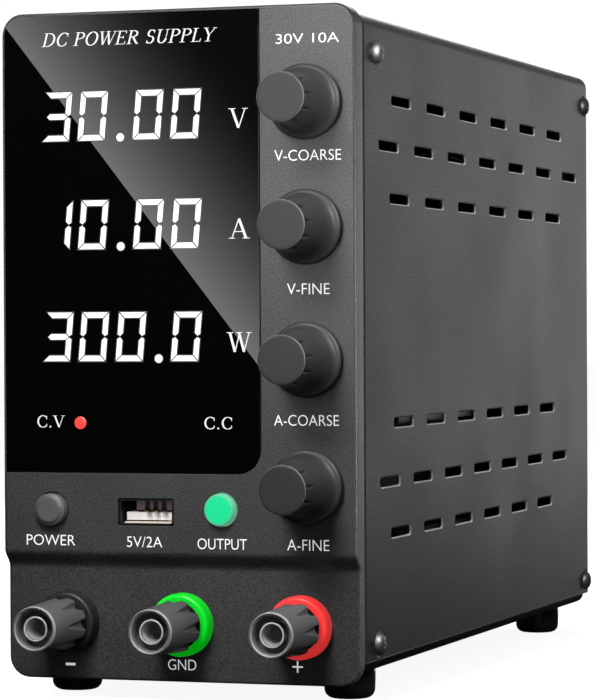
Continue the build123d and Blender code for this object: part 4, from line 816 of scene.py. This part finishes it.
GROOVES = 10
for knob in KNOBS:
    low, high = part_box(f"{knob}_knob")
    nose, back = low.y, high.y
    depth = back - nose

    def knob_radius(radius, y, around, nose=nose):
        """Ten short grip grooves run back from the nose."""
        run = (y - nose) / MM
        if run < 0.4 or run > 5.6 or radius < 5.3 * MM:
            return radius
        step = 2 * pi / GROOVES
        off = abs((around - radians(8) + step / 2) % step - step / 2) * radius / MM
        fade = (1 - ease((run - 2.0) / 3.6)) * ease((run - 0.4) / 0.5)
        return radius - 0.62 * MM * fade * max(0.0, 1 - (off / 0.42) ** 2)

    profile = [(0, 0), (4.6, 0), (5.25, 0.0), (5.42, 0.05), (5.55, 0.2), (5.6, 0.45), (5.72, 2.2),
               (5.85, 5.0), (6.0, 8.0), (6.12, 10.2)]
    profile += [(6.12 + 1.95 * (1 - cos(t)), 10.2 + 5.6 * sin(t))
                for t in [radians(a) for a in range(10, 91, 8)]]
    profile += [(8.2, 15.95), (8.38, 16.05), (8.48, 16.2), (8.5, 16.4), (8.5, 17.1), (8.35, 17.45),
                (6.3, 17.5), (6.3, 15.5)]
    points = smoothed([(r * MM, nose + y * MM * depth / (17.5 * MM)) for r, y in profile], 0.45 * MM)
    body = f"{knob}_control"
    turned = lathe(f"{knob}_cap", points, on_axis(f"{knob}_knob"), "knob", body, 240, 40, knob_radius)
    ring_faces(turned, nose, "knob_face", [(-1, WIDE, 0.03)])
    # a lighter band on the nose's rounded rim: a painted highlight
    ring_faces(turned, nose, "knob_rim_highlight", [(5.40, 5.6, 0.3)])
    stands_for(turned, f"{knob}_knob")

# ---- push buttons
for button, radius, face_radius, material, rim in (
        ("power_button", 3.75, 2.75, "grey_button", "grey_button"),
        ("output_button", 3.7, 3.3, "green_light", "green_side")):
    low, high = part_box(button)
    top = low.y
    profile = [(0, 0), (face_radius - 0.1, 0), (face_radius + 0.05, 0.04), (face_radius + 0.12, 0.14),
               (radius - 0.12, 0.6), (radius - 0.03, 0.8), (radius, 1.05), (radius, 4.6), (radius + 0.9, 4.8),
               (radius + 0.9, 5.6), (1.4, 5.7), (1.4, (high.y - low.y) / MM), (0, (high.y - low.y) / MM)]
    turned = lathe(f"{button}_dome", smoothed([(r * MM, top + y * MM) for r, y in profile], 0.6 * MM),
                   on_axis(button), rim, f"{button}_cap", 96, 30)
    ring_faces(turned, top, material, [(-1, WIDE, 0.02)])
    turned.visible_diffuse = False
    stands_for(turned, button)

# ---- USB socket
shell_low, shell_high = usb
skin = 0.3 * MM
shell_outlines = [rounded(shell_low.x + inset, shell_high.x - inset, shell_low.z + inset,
                          shell_high.z - inset, corner)
                  for inset, corner in ((0, 0.7 * MM), (skin, 0.45 * MM))]
shell_bm = slab(shell_outlines, shell_high.y - shell_low.y, [0.06 * MM] * 2)
shell = slab_piece("usb_can", shell_bm, facing_front(shell_low.y), "dark_metal")
stands_for(shell, "usb_shell")


def box_between(low, high):
    """A bmesh of a box between two corners."""
    bm = bmesh.new()
    bmesh.ops.create_cube(bm, size=1.0)
    for v in bm.verts:
        v.co = [(a + b) / 2 + c * (b - a) for a, b, c in zip(low, high, v.co)]
    return bm


def block(name, low, high, material):
    """A small box between two corners with softened edges."""
    bm = box_between(low, high)
    bmesh.ops.bevel(bm, geom=bm.edges[:], offset=0.08 * MM, segments=2, profile=0.5, affect="EDGES")
    return mark_piece(name, bm, material)


# Inside the can: a lower lip and a throat that glow as painted light, and three contact springs that hang
# from its top.
spring_end = (shell_low.z + shell_high.z) / 2 + 0.45 * MM
lip_front = shell_low.y + 0.15 * MM
block("usb_lip", (shell_low.x + 1.2 * MM, lip_front, shell_low.z + skin),
      (shell_high.x - 0.4 * MM, lip_front + 2.0 * MM, shell_low.z + skin + 0.35 * MM), "usb_lip")
block("usb_throat", (shell_low.x + 3.6 * MM, lip_front + 1.4 * MM, spring_end),
      (shell_high.x - 0.4 * MM, lip_front + 1.8 * MM, shell_high.z - skin), "usb_throat")
for i in range(3):
    x = shell_low.x + (6.3 + 2.0 * i) * MM
    block(f"usb_spring_{i + 1}", (x, lip_front, spring_end + 0.05 * MM),
          (x + 0.9 * MM, lip_front + 0.6 * MM, shell_high.z - skin), "contact_dark")
    block(f"usb_spring_foot_{i + 1}", (x - 0.2 * MM, lip_front, spring_end),
          (x + 1.1 * MM, lip_front + 0.6 * MM, spring_end + 0.6 * MM), "contact_dark")

# ---- binding posts
FLUTES = 8
for post in POSTS:
    axis = on_axis(f"{post}_collar")
    low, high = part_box(f"{post}_collar")
    front, seat = low.y, TERMINAL_Y
    reach = (seat - front) / MM
    profile = [(3.0, 0.12), (5.9, 0.1), (6.2, 0.0), (6.6, 0.05), (6.9, 0.25), (7.1, 0.55), (7.22, 0.95),
               (7.25, 1.4), (7.25, reach), (4.0, reach), (3.95, reach + 4.3), (3.0, reach + 4.3)]
    ring = lathe(f"{post}_flange", smoothed([(r * MM, front + y * MM) for r, y in profile], 0.8 * MM), axis,
                 f"collar_{post}", ENCLOSURE, 128, 40, closed=True)
    ring.visible_diffuse = False
    ring.visible_glossy = False
    stands_for(ring, f"{post}_collar")

    low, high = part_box(f"{post}_post_cap")
    nose, base = low.y, high.y
    length = (base - nose) / MM

    def cap_radius(radius, y, around, base=base):
        """Eight flutes, wide and deep at the base, that run out to a point."""
        run = (base - y) / MM
        if radius < 4.9 * MM or run > 10.5:
            return radius
        step = 2 * pi / FLUTES
        off = abs((around + step / 2) % step - step / 2) * radius / MM
        share = 1 - run / 10.5
        half = 0.15 + 1.35 * share
        return radius - 1.25 * MM * share ** 0.8 * max(0.0, 1 - (off / half) ** 2)

    profile = [(3.0, 3.4), (3.9, 3.3), (4.05, 3.1), (4.15, 0.9), (4.3, 0.55), (4.42, 0.5), (4.52, 0.32),
               (4.62, 0.28), (4.7, 0.1), (4.82, 0.0), (4.98, 0.02), (5.1, 0.14), (5.16, 0.4), (5.2, 1.2)]
    profile += [(5.2 + 0.8 * (y - 1.2) / (length - 1.8), y)
                for y in (length * k / 40 for k in range(4, 39))]
    profile += [(5.98, length - 0.35), (5.85, length - 0.1), (5.6, length), (3.0, length)]
    cap = lathe(f"{post}_thumbscrew", smoothed([(r * MM, nose + y * MM) for r, y in profile], 0.5 * MM), axis,
                "cap", f"{post}_thumb_nut", 192, 40, cap_radius, closed=True)
    # lighter bands on the lip's chamfers: painted highlights
    ring_faces(cap, nose, "cap_edge_highlight", [(4.42, 4.66, 0.4), (4.98, 5.2, 0.75)])
    stands_for(cap, f"{post}_post_cap")

stud_low, stud_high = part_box("post_studs")
for post in POSTS:
    axis = on_axis(f"{post}_collar")
    length = (stud_high.y - stud_low.y) / MM
    profile = [(0, 7.4), (2.0, 7.0), (2.0, 1.6), (2.42, 0.35), (2.5, 0.12), (2.58, 0.0), (2.72, 0.0),
               (2.82, 0.08), (2.88, 0.25), (2.9, 0.5), (2.9, length), (0, length)]
    points = smoothed([(r * MM, stud_low.y + y * MM) for r, y in profile], 0.8 * MM)
    tube = lathe(f"{post}_tube", points, axis, "tube", angle=30)
    # a light band on the tube's mouth: a painted highlight
    ring_faces(tube, stud_low.y, "tube_rim_highlight", [(2.5, 2.95, 0.35)])
    ring_faces(tube, stud_low.y, "bore", [(0.0, 2.45, 30.0)])
    stands_for(tube, "post_studs")

# ---- folded cover
cover_low, cover_high = COVER
WALL = 1.0 * MM
BEND = 3.5 * MM
side_run = cover_high.z - BEND - cover_low.z
top_run = (cover_high.x - cover_low.x) - 2 * BEND
bend_run = BEND * pi / 2
developed = 2 * side_run + 2 * bend_run + top_run
cover_depth = cover_high.y - cover_low.y
REAR_CURL = 2.4 * MM
# rows of vents: drop from the cover's top, first slot's middle behind the bezel's face, spacing, count
VENT_ROWS = [(18.8, 36.0, 29.0, 6), (29.6, 25.8, 28.7, 7), (41.6, 34.4, 29.0, 6),
             (93.6, 37.0, 27.1, 6), (107.1, 26.0, 26.7, 7), (119.1, 34.4, 27.0, 6)]
VENT_LENGTH, VENT_HEIGHT, VENT_CORNER = 16.0 * MM, 2.2 * MM, 0.9 * MM
cover_outlines = [rounded(-developed / 2, developed / 2, 0, cover_depth, 0.6 * MM, 3)]
for row_z, first, spacing, count in VENT_ROWS:
    run = cover_high.z - row_z * MM - cover_low.z
    for i in range(count):
        y = FACE_Y + (first + spacing * i) * MM - cover_low.y
        for side in (-1, 1):
            u = side * (developed / 2 - run)
            cover_outlines.append(rounded(u - VENT_HEIGHT / 2, u + VENT_HEIGHT / 2, y - VENT_LENGTH / 2,
                                          y + VENT_LENGTH / 2, VENT_CORNER, 5))
screw_low, screw_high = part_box("cover_screws")
HEAD_RADIUS = 2.65 * MM
SCREW_SPOTS = [(y, z) for y in (screw_low.y + HEAD_RADIUS, screw_high.y - HEAD_RADIUS)
               for z in (screw_low.z + HEAD_RADIUS, screw_high.z - HEAD_RADIUS)]
for y, z in SCREW_SPOTS:
    for side in (-1, 1):
        u = side * (developed / 2 - (z - cover_low.z))
        cover_outlines.append(circle(u, y - cover_low.y, HEAD_RADIUS + 0.1 * MM, 40))
cover_cuts = []
BEND_STEPS = 10
for side in (-1, 1):
    for i in range(BEND_STEPS + 1):
        cover_cuts.append(((side * (top_run / 2 + bend_run * i / BEND_STEPS), 0, 0), (1, 0, 0)))
for i in range(7):
    cover_cuts.append(((0, cover_depth - REAR_CURL * i / 6, 0), (0, 1, 0)))


def cover_shape(u, v, h):
    """Folds the flat sheet: u runs round the sheet, v along the depth, h is 0 on the outside."""
    side = 1 if u > 0 else -1
    run = abs(u) - top_run / 2
    over = v - (cover_depth - REAR_CURL)
    curl = REAR_CURL - sqrt(max(0.0, REAR_CURL ** 2 - over ** 2)) if over > 0 else 0.0
    inwards = -h + curl * 0.9
    if run <= 0:
        x, z = abs(u), cover_high.z - inwards
    elif run < bend_run:
        turn = run / BEND
        x = top_run / 2 + (BEND - inwards) * sin(turn)
        z = cover_high.z - BEND + (BEND - inwards) * cos(turn)
    else:
        x, z = top_run / 2 + BEND - inwards, cover_high.z - BEND - (run - bend_run)
    return side * x, cover_low.y + v, z


cover_bm = slab(cover_outlines, WALL, [0.4 * MM] + [0.42 * MM] * (len(cover_outlines) - 1), cover_cuts)
cover = slab_piece("cover_sheet", cover_bm, cover_shape, "paint")
cover.data.materials.append(MATERIALS["paint_edge_highlight"])
# the vents' rounded rims and the cover's lower edge take the lighter coat: painted highlights
for face in cover.data.polygons:
    on_wall = (abs(face.center.x) > cover_high.x - 0.45 * MM
               and face.center.z < cover_high.z - BEND - 0.5 * MM
               and face.center.y > cover_low.y + 1.0 * MM)
    if face.center.z < cover_low.z + 0.42 * MM or (on_wall and abs(face.normal.x) < 0.97):
        face.material_index = 1
stands_for(cover, "top_cover")


# ---- cross-recess screws
def screw(name, place, head_radius, head, material):
    """A domed screw head with a cross recess; place maps local (x, y, up) to the part's frame."""
    dome = [(0, 1.0), (0.25, 0.985), (0.5, 0.93), (0.7, 0.83), (0.84, 0.68), (0.94, 0.48), (0.99, 0.25),
            (1.0, 0.08), (0.98, 0.0), (0.0, 0.0)]
    segments, rings = 64, []
    bm = bmesh.new()
    for r, h in dome:
        if r == 0:
            rings.append([bm.verts.new((0, 0, h * head))] * segments)
        else:
            rings.append([bm.verts.new((r * head_radius * cos(2 * pi * i / segments),
                                        r * head_radius * sin(2 * pi * i / segments), h * head))
                          for i in range(segments)])
    for near, far in zip(rings, rings[1:]):
        for i in range(segments):
            j = (i + 1) % segments
            corners = list(dict.fromkeys((near[i], near[j], far[j], far[i])))
            if len(corners) > 2:
                bm.faces.new(corners)
    holder = linked(name, mesh_of(bm, name))
    cutter_bm = bmesh.new()
    square = ((-1, -1), (1, -1), (1, 1), (-1, 1))
    arm, half = head_radius * 0.56, head_radius * 0.14
    for along_x in (True, False):
        w, d = (arm, half) if along_x else (half, arm)
        top = [cutter_bm.verts.new((sx * w, sy * d, head * 1.3)) for sx, sy in square]
        bottom = [cutter_bm.verts.new((sx * w * 0.5, sy * d * 0.8, head * 0.35)) for sx, sy in square]
        cutter_bm.faces.new(top)
        cutter_bm.faces.new(bottom[::-1])
        for i in range(4):
            j = (i + 1) % 4
            cutter_bm.faces.new((top[i], bottom[i], bottom[j], top[j]))
    cutter = linked(f"{name}_cutter", mesh_of(cutter_bm, f"{name}_cutter"))
    boolean = holder.modifiers.new("recess", "BOOLEAN")
    boolean.operation = "DIFFERENCE"
    boolean.solver = "EXACT"
    boolean.use_self = True
    boolean.object = cutter
    mesh = evaluated_mesh(holder)
    bpy.data.objects.remove(cutter)
    mesh.name = name
    for v in mesh.vertices:
        v.co = place(*v.co)
    return finish_piece(name, turned_out(mesh), material, angle=38)


def screw_place(origin, out, turn):
    """Puts a screw's local up along out, turned about it."""
    up_axis = Vector(out)
    side_axis = up_axis.orthogonal().normalized()
    across = up_axis.cross(side_axis)

    def place(x, y, h):
        xr, yr = x * cos(turn) - y * sin(turn), x * sin(turn) + y * cos(turn)
        return Vector(origin) + side_axis * xr + across * yr + up_axis * h
    return place


SEAT = 0.7 * MM                 # heads sit this deep in their recesses
HEAD = screw_high.x - cover_high.x + SEAT
turns = (0.15, 0.5, 1.1, 0.7)
for side in (-1, 1):
    for i, ((y, z), turn) in enumerate(zip(SCREW_SPOTS, turns)):
        name = f"{'right' if side > 0 else 'left'}_screw_{i + 1}"
        place = screw_place((side * (cover_high.x - SEAT), y, z), (side, 0, 0), turn)
        head = screw(name, place, HEAD_RADIUS, HEAD, "nickel")
        stands_for(head, "cover_screws")

# ---- base tray and feet
base_low, base_high = BASE
tray = box_between(base_low, base_high)
top_faces = [f for f in tray.faces if f.calc_center_median().z > base_high.z - 1e-6]
bmesh.ops.delete(tray, geom=top_faces, context="FACES_ONLY")
bottom_edges = [e for e in tray.edges if all(v.co.z < base_low.z + 1e-6 for v in e.verts)]
upright_edges = [e for e in tray.edges if abs(e.verts[0].co.z - e.verts[1].co.z) > 1e-6]
bmesh.ops.bevel(tray, geom=bottom_edges + upright_edges, offset=2.5 * MM, segments=8, profile=0.5,
                affect="EDGES")
base_tray = finish_piece("base_tray", mesh_of(tray, "base_tray"), "base")
wall = base_tray.modifiers.new("wall", "SOLIDIFY")
wall.thickness = 1.0 * MM
wall.offset = -1
stands_for(base_tray, "chassis_base")


feet_low, feet_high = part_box("rubber_feet")
FOOT_RADIUS = 6.0 * MM
foot_height = feet_high.z - feet_low.z
for ix, x in enumerate((feet_low.x + FOOT_RADIUS, feet_high.x - FOOT_RADIUS)):
    for iy, y in enumerate((feet_low.y + FOOT_RADIUS, feet_high.y - FOOT_RADIUS)):
        top = foot_height / MM
        profile = [(1.6, 2.8), (3.2, 2.8), (3.2, 0.3), (3.3, 0.1), (3.5, 0.0)]
        profile += [(3.8 + 2.1 * sin(radians(a)), 2.2 * (1 - cos(radians(a)))) for a in range(0, 91, 9)]
        profile += [(5.95, 3.5), (6.0, top - 0.3), (5.9, top), (1.6, top)]
        foot = lathe(f"foot_{ix + 1}{iy + 1}", smoothed([(r * MM, z * MM) for r, z in profile], 0.7 * MM),
                     (0, 0), "rubber", segments=64, closed=True)
        for v in foot.data.vertices:
            v.co = (x + v.co.x, y + v.co.z, v.co.y)
        foot.data.flip_normals()
        stands_for(foot, "rubber_feet")

# ---- rear: guard, rotor, inlet, selector
fan_x, fan_z = on_axis("fan_frame")
panel_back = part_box("rear_panel")[1].y


def wire(name, points, radius, cyclic=False):
    """A round nickel wire through points, as a mesh."""
    curve = bpy.data.curves.new(name, "CURVE")
    curve.dimensions = "3D"
    curve.bevel_depth = radius
    curve.bevel_resolution = 4
    curve.use_fill_caps = True
    spline = curve.splines.new("POLY")
    spline.points.add(len(points) - 1)
    for point, co in zip(spline.points, points):
        point.co = (*co, 1)
    spline.use_cyclic_u = cyclic
    mesh = evaluated_mesh(linked(name, curve))
    bpy.data.curves.remove(curve)
    mesh.name = name
    mesh.materials.clear()
    return finish_piece(name, mesh, "nickel", angle=40)


HOLE_REACH = 35.36 * MM         # from the fan's middle to its screws


def fan_point(i, reach, y):
    """A point on the fan's diagonal i, at a distance from its axis."""
    around = radians(45 + 90 * i)
    return fan_x + reach * cos(around), y, fan_z + reach * sin(around)


guard_pieces = []
ring_y, arm_y = panel_back + 1.25 * MM, panel_back + 0.75 * MM
for i, radius in enumerate((9.5, 15.7, 21.8, 28.0)):
    loop = hoop(fan_x, ring_y, fan_z, radius * MM, 96)
    guard_pieces.append(wire(f"guard_ring_{i + 1}", loop, 0.72 * MM, cyclic=True))
for i in range(4):
    arm = [fan_point(i, 8.6 * MM, arm_y), fan_point(i, 32.4 * MM, arm_y)]
    guard_pieces.append(wire(f"guard_arm_{i + 1}", arm, 0.7 * MM))
    eye = hoop(*fan_point(i, HOLE_REACH, arm_y), 2.9 * MM, 40)
    guard_pieces.append(wire(f"guard_eye_{i + 1}", eye, 0.68 * MM, cyclic=True))
for piece in guard_pieces:
    stands_for(piece, "fan_guard")

head_back = panel_back + 1.4 * MM
head_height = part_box("fan_screws")[1].y - head_back
for i in range(4):
    place = screw_place(fan_point(i, HOLE_REACH, head_back), (0, 1, 0), 0.4 + i)
    head = screw(f"fan_screw_{i + 1}", place, 3.1 * MM, head_height, "dark_metal")
    stands_for(head, "fan_screws")

# The rotor: a cup hub with seven swept, twisted blades.
rotor_low, rotor_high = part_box("fan_rotor")
hub_radius = 12.5 * MM
hub_back = rotor_high.y - 1.7 * MM
profile = [(0, hub_back), (11.6 * MM, hub_back), (12.2 * MM, hub_back - 0.2 * MM),
           (hub_radius, hub_back - 0.7 * MM), (hub_radius, rotor_low.y + 1.0 * MM),
           (12.1 * MM, rotor_low.y + 0.3 * MM), (11.4 * MM, rotor_low.y), (0, rotor_low.y)]
hub = lathe("rotor_hub", smoothed(profile, 1.0 * MM), (fan_x, fan_z), "black_plastic", "fan_rotor_body", 96)
stands_for(hub, "fan_rotor")
# A dark disc across the fan opening shuts out the backdrop seen through the vents: a sheet standing in for
# the shade inside.
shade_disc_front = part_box("fan_frame")[0].y + 0.2 * MM
shade_disc_back, shade_disc_radius = shade_disc_front + 0.3 * MM, 28.3 * MM
lathe("fan_gauze", [(0, shade_disc_front), (shade_disc_radius, shade_disc_front), (shade_disc_radius, shade_disc_back),
                    (0, shade_disc_back)], (fan_x, fan_z), "black_plastic", segments=64)
BLADES, ALONG, ACROSS = 7, 12, 10
blade_mid = (rotor_low.y + hub_back) / 2
blade_bm = bmesh.new()
for b in range(BLADES):
    grid = {}
    for s in range(ALONG + 1):
        reach = s / ALONG
        radius = (12.0 + (26.9 - 12.0) * reach) * MM
        pitch = radians(44 - 20 * reach)
        chord = (13.0 + 9.5 * reach) * MM
        sweep = 0.30 * reach ** 1.5
        for c in range(ACROSS + 1):
            t = c / ACROSS - 0.5
            camber = 0.9 * MM * (1 - 4 * t * t)
            around_length = t * chord * cos(pitch) + camber * sin(pitch)
            y = blade_mid + t * chord * sin(pitch) - camber * cos(pitch)
            around = 2 * pi * b / BLADES + sweep + around_length / radius
            grid[s, c] = (fan_x + radius * cos(around), y, fan_z + radius * sin(around))
    top = {k: blade_bm.verts.new(co) for k, co in grid.items()}
    for s in range(ALONG):
        for c in range(ACROSS):
            blade_bm.faces.new((top[s, c], top[s + 1, c], top[s + 1, c + 1], top[s, c + 1]))
blades = finish_piece("rotor_blades", mesh_of(blade_bm, "rotor_blades"), "black_plastic",
                      "fan_rotor_body", angle=60)
thick = blades.modifiers.new("thickness", "SOLIDIFY")
thick.thickness = 0.9 * MM
thick.offset = 0
stands_for(blades, "fan_rotor")

# ---- stage
bpy.context.scene.view_settings.view_transform = "Standard"
FLOOR_SIZE = 14.0
floor_material = new_material("stage_floor", (0.88, 0.88, 0.88), 0.9, specular=0.0)
floor_shader = floor_material.node_tree.nodes["Principled BSDF"]
floor_shader.inputs["Emission Color"].default_value = (1, 1, 1, 1)
floor_shader.inputs["Emission Strength"].default_value = 0.92
bpy.ops.mesh.primitive_plane_add(size=FLOOR_SIZE, location=(0, 0, -0.0002))
floor = bpy.context.object
floor.name = "stage_floor"
floor.data.materials.append(floor_material)
floor.visible_diffuse = False
floor.visible_glossy = False

# The backdrop is white, but the light that falls on the part comes mostly from above.
world = bpy.data.worlds.new("studio")
bpy.context.scene.world = world
world.use_nodes = True
sky = world.node_tree
backdrop = sky.nodes["Background"]
backdrop.inputs["Color"].default_value = (1, 1, 1, 1)
backdrop.inputs["Strength"].default_value = 1.05
fill = sky.nodes.new("ShaderNodeBackground")
direction = sky.nodes.new("ShaderNodeTexCoord")
height = sky.nodes.new("ShaderNodeSeparateXYZ")
sky.links.new(direction.outputs["Generated"], height.inputs["Vector"])
rise = sky.nodes.new("ShaderNodeValToRGB")
for n, (level_z, tone) in enumerate(((0.06, 0.012), (0.28, 0.075), (0.60, 0.11), (0.95, 0.01))):
    stop = rise.color_ramp.elements[n] if n < 2 else rise.color_ramp.elements.new(level_z)
    stop.position = level_z
    stop.color = (tone, tone, tone, 1)
sky.links.new(height.outputs["Z"], rise.inputs["Fac"])
sky.links.new(rise.outputs["Color"], fill.inputs["Color"])
seen = sky.nodes.new("ShaderNodeLightPath")
choose = sky.nodes.new("ShaderNodeMixShader")
sky.links.new(seen.outputs["Is Camera Ray"], choose.inputs["Fac"])
sky.links.new(fill.outputs["Background"], choose.inputs[1])
sky.links.new(backdrop.outputs["Background"], choose.inputs[2])
sky.links.new(choose.outputs["Shader"], sky.nodes["World Output"].inputs["Surface"])


def area_light(name, place, target, size, power, size_y=None, only_on=None):
    """A soft rectangular lamp at a place, aimed at a target, and lighting one group alone if it is given."""
    data = bpy.data.lights.new(name, "AREA")
    data.shape = "RECTANGLE"
    data.size = size
    data.size_y = size_y or size
    data.energy = power
    light = linked(name, data)
    light.location = place
    light.rotation_euler = (Vector(target) - Vector(place)).to_track_quat("-Z", "Y").to_euler()
    light.visible_camera = False
    if only_on:
        light.light_linking.receiver_collection = only_on


def group(name, pieces):
    made = bpy.data.collections.new(name)
    for piece in pieces:
        made.objects.link(piece)
    return made


CONTROL_ENDS = ("_knob_cap", "_cap", "_thumbscrew", "_dome", "_tube")
controls = group("controls", [piece for piece in bpy.data.objects if piece.name.endswith(CONTROL_ENDS)
                              or piece.name.startswith(("right_screw", "foot"))])
moulded = group("moulded", [piece for piece in bpy.data.objects if piece.name.startswith("bezel")])
folded = group("folded", [cover])
SIDE_X = cover_high.x
TOP_Z = BEZEL[1].z
area_light("front_top", (-0.005, FACE_Y - 0.20, TOP_Z + 0.11), (0.0, FACE_Y, TOP_Z - 0.05), 0.09, 0.74, 0.10)
area_light("front_right", (0.02, FACE_Y - 0.12, 0.125), (0.02, FACE_Y, 0.115), 0.04, 0.085, 0.08)
area_light("side_back", (SIDE_X + 0.28, 1.6, 0.15), (SIDE_X, 0.1, 0.08), 0.30, 1.45, 0.5)
area_light("rear_left", (-0.22, 0.60, 0.38), (0, 0.10, 0.09), 0.40, 3.0)
area_light("right_front", (0.34, FACE_Y - 0.60, 0.20), (0, FACE_Y, 0.09), 0.30, 0.32, 0.40)
area_light("controls_side", (SIDE_X + 0.12, FACE_Y - 0.06, 0.18), (0.03, FACE_Y, 0.08), 0.10, 0.4,
           only_on=controls)
area_light("bend_top", (SIDE_X + 0.05, 0.04, TOP_Z + 0.30), (SIDE_X, 0.04, TOP_Z), 0.20, 1.4, only_on=folded)
area_light("bezel_side", (SIDE_X + 0.15, FACE_Y + 0.02, 0.09), (SIDE_X, FACE_Y + 0.005, 0.09), 0.05, 0.3,
           0.12, only_on=moulded)
area_light("rim_front", (SIDE_X + 0.26, FACE_Y - 0.52, 0.24), (SIDE_X, 0.0, 0.09), 0.2, 0.8, only_on=folded)

# A softbox that only mirrors in glossy faces: its lower-left edge runs as a diagonal across the lens.
eye = camera.matrix_world.translation
mirrored_eye = Vector((eye.x, 2 * FACE_Y - eye.y, eye.z))
CARD_Y = FACE_Y - 0.9


def on_card(x_mm, z_mm):
    """Where a point of the lens face sees the card's plane in its reflection."""
    point = Vector((x_mm * MM, FACE_Y, z_mm * MM))
    ray = point - mirrored_eye
    return mirrored_eye + ray * ((CARD_Y - mirrored_eye.y) / ray.y)


diagonal = [on_card(-62.0, 180.9), on_card(32.0, 61.6)]
corners = [diagonal[0], diagonal[1], on_card(60, 61.5), on_card(60, 180.9)]
card_mesh = mesh_from("softbox", [tuple(c) for c in corners], [(0, 1, 2, 3)])
softbox = linked("stage_softbox", card_mesh)
card_material = bpy.data.materials.new("stage_softbox")
card_material.use_nodes = True
card_tree = card_material.node_tree
card_tree.nodes.remove(card_tree.nodes["Principled BSDF"])
place = card_tree.nodes.new("ShaderNodeTexCoord")
across = (diagonal[1] - diagonal[0]).cross(Vector((0, 1, 0))).normalized()
if across.dot(corners[2] - corners[0]) < 0:
    across = -across
dot = card_tree.nodes.new("ShaderNodeVectorMath")
dot.operation = "DOT_PRODUCT"
dot.inputs[1].default_value = across
card_tree.links.new(place.outputs["Object"], dot.inputs[0])
fade = card_tree.nodes.new("ShaderNodeMapRange")
near = across.dot(diagonal[0])
fade.inputs["From Min"].default_value = near
fade.inputs["From Max"].default_value = near + 0.09
fade.inputs["To Min"].default_value = 1.0
fade.inputs["To Max"].default_value = 0.0
card_tree.links.new(dot.outputs["Value"], fade.inputs["Value"])
bend = card_tree.nodes.new("ShaderNodeMath")
bend.operation = "POWER"
bend.inputs[1].default_value = 2.5
card_tree.links.new(fade.outputs["Result"], bend.inputs[0])
level = card_tree.nodes.new("ShaderNodeMath")
level.operation = "MULTIPLY_ADD"
level.inputs[1].default_value = 4.0
level.inputs[2].default_value = 0.055
card_tree.links.new(bend.outputs["Value"], level.inputs[0])
glow = card_tree.nodes.new("ShaderNodeEmission")
card_tree.links.new(level.outputs["Value"], glow.inputs["Strength"])
card_tree.links.new(glow.outputs["Emission"], card_tree.nodes["Material Output"].inputs["Surface"])
card_mesh.materials.append(card_material)
softbox.visible_camera = False
softbox.visible_diffuse = False
softbox.visible_shadow = False
softbox.visible_transmission = False
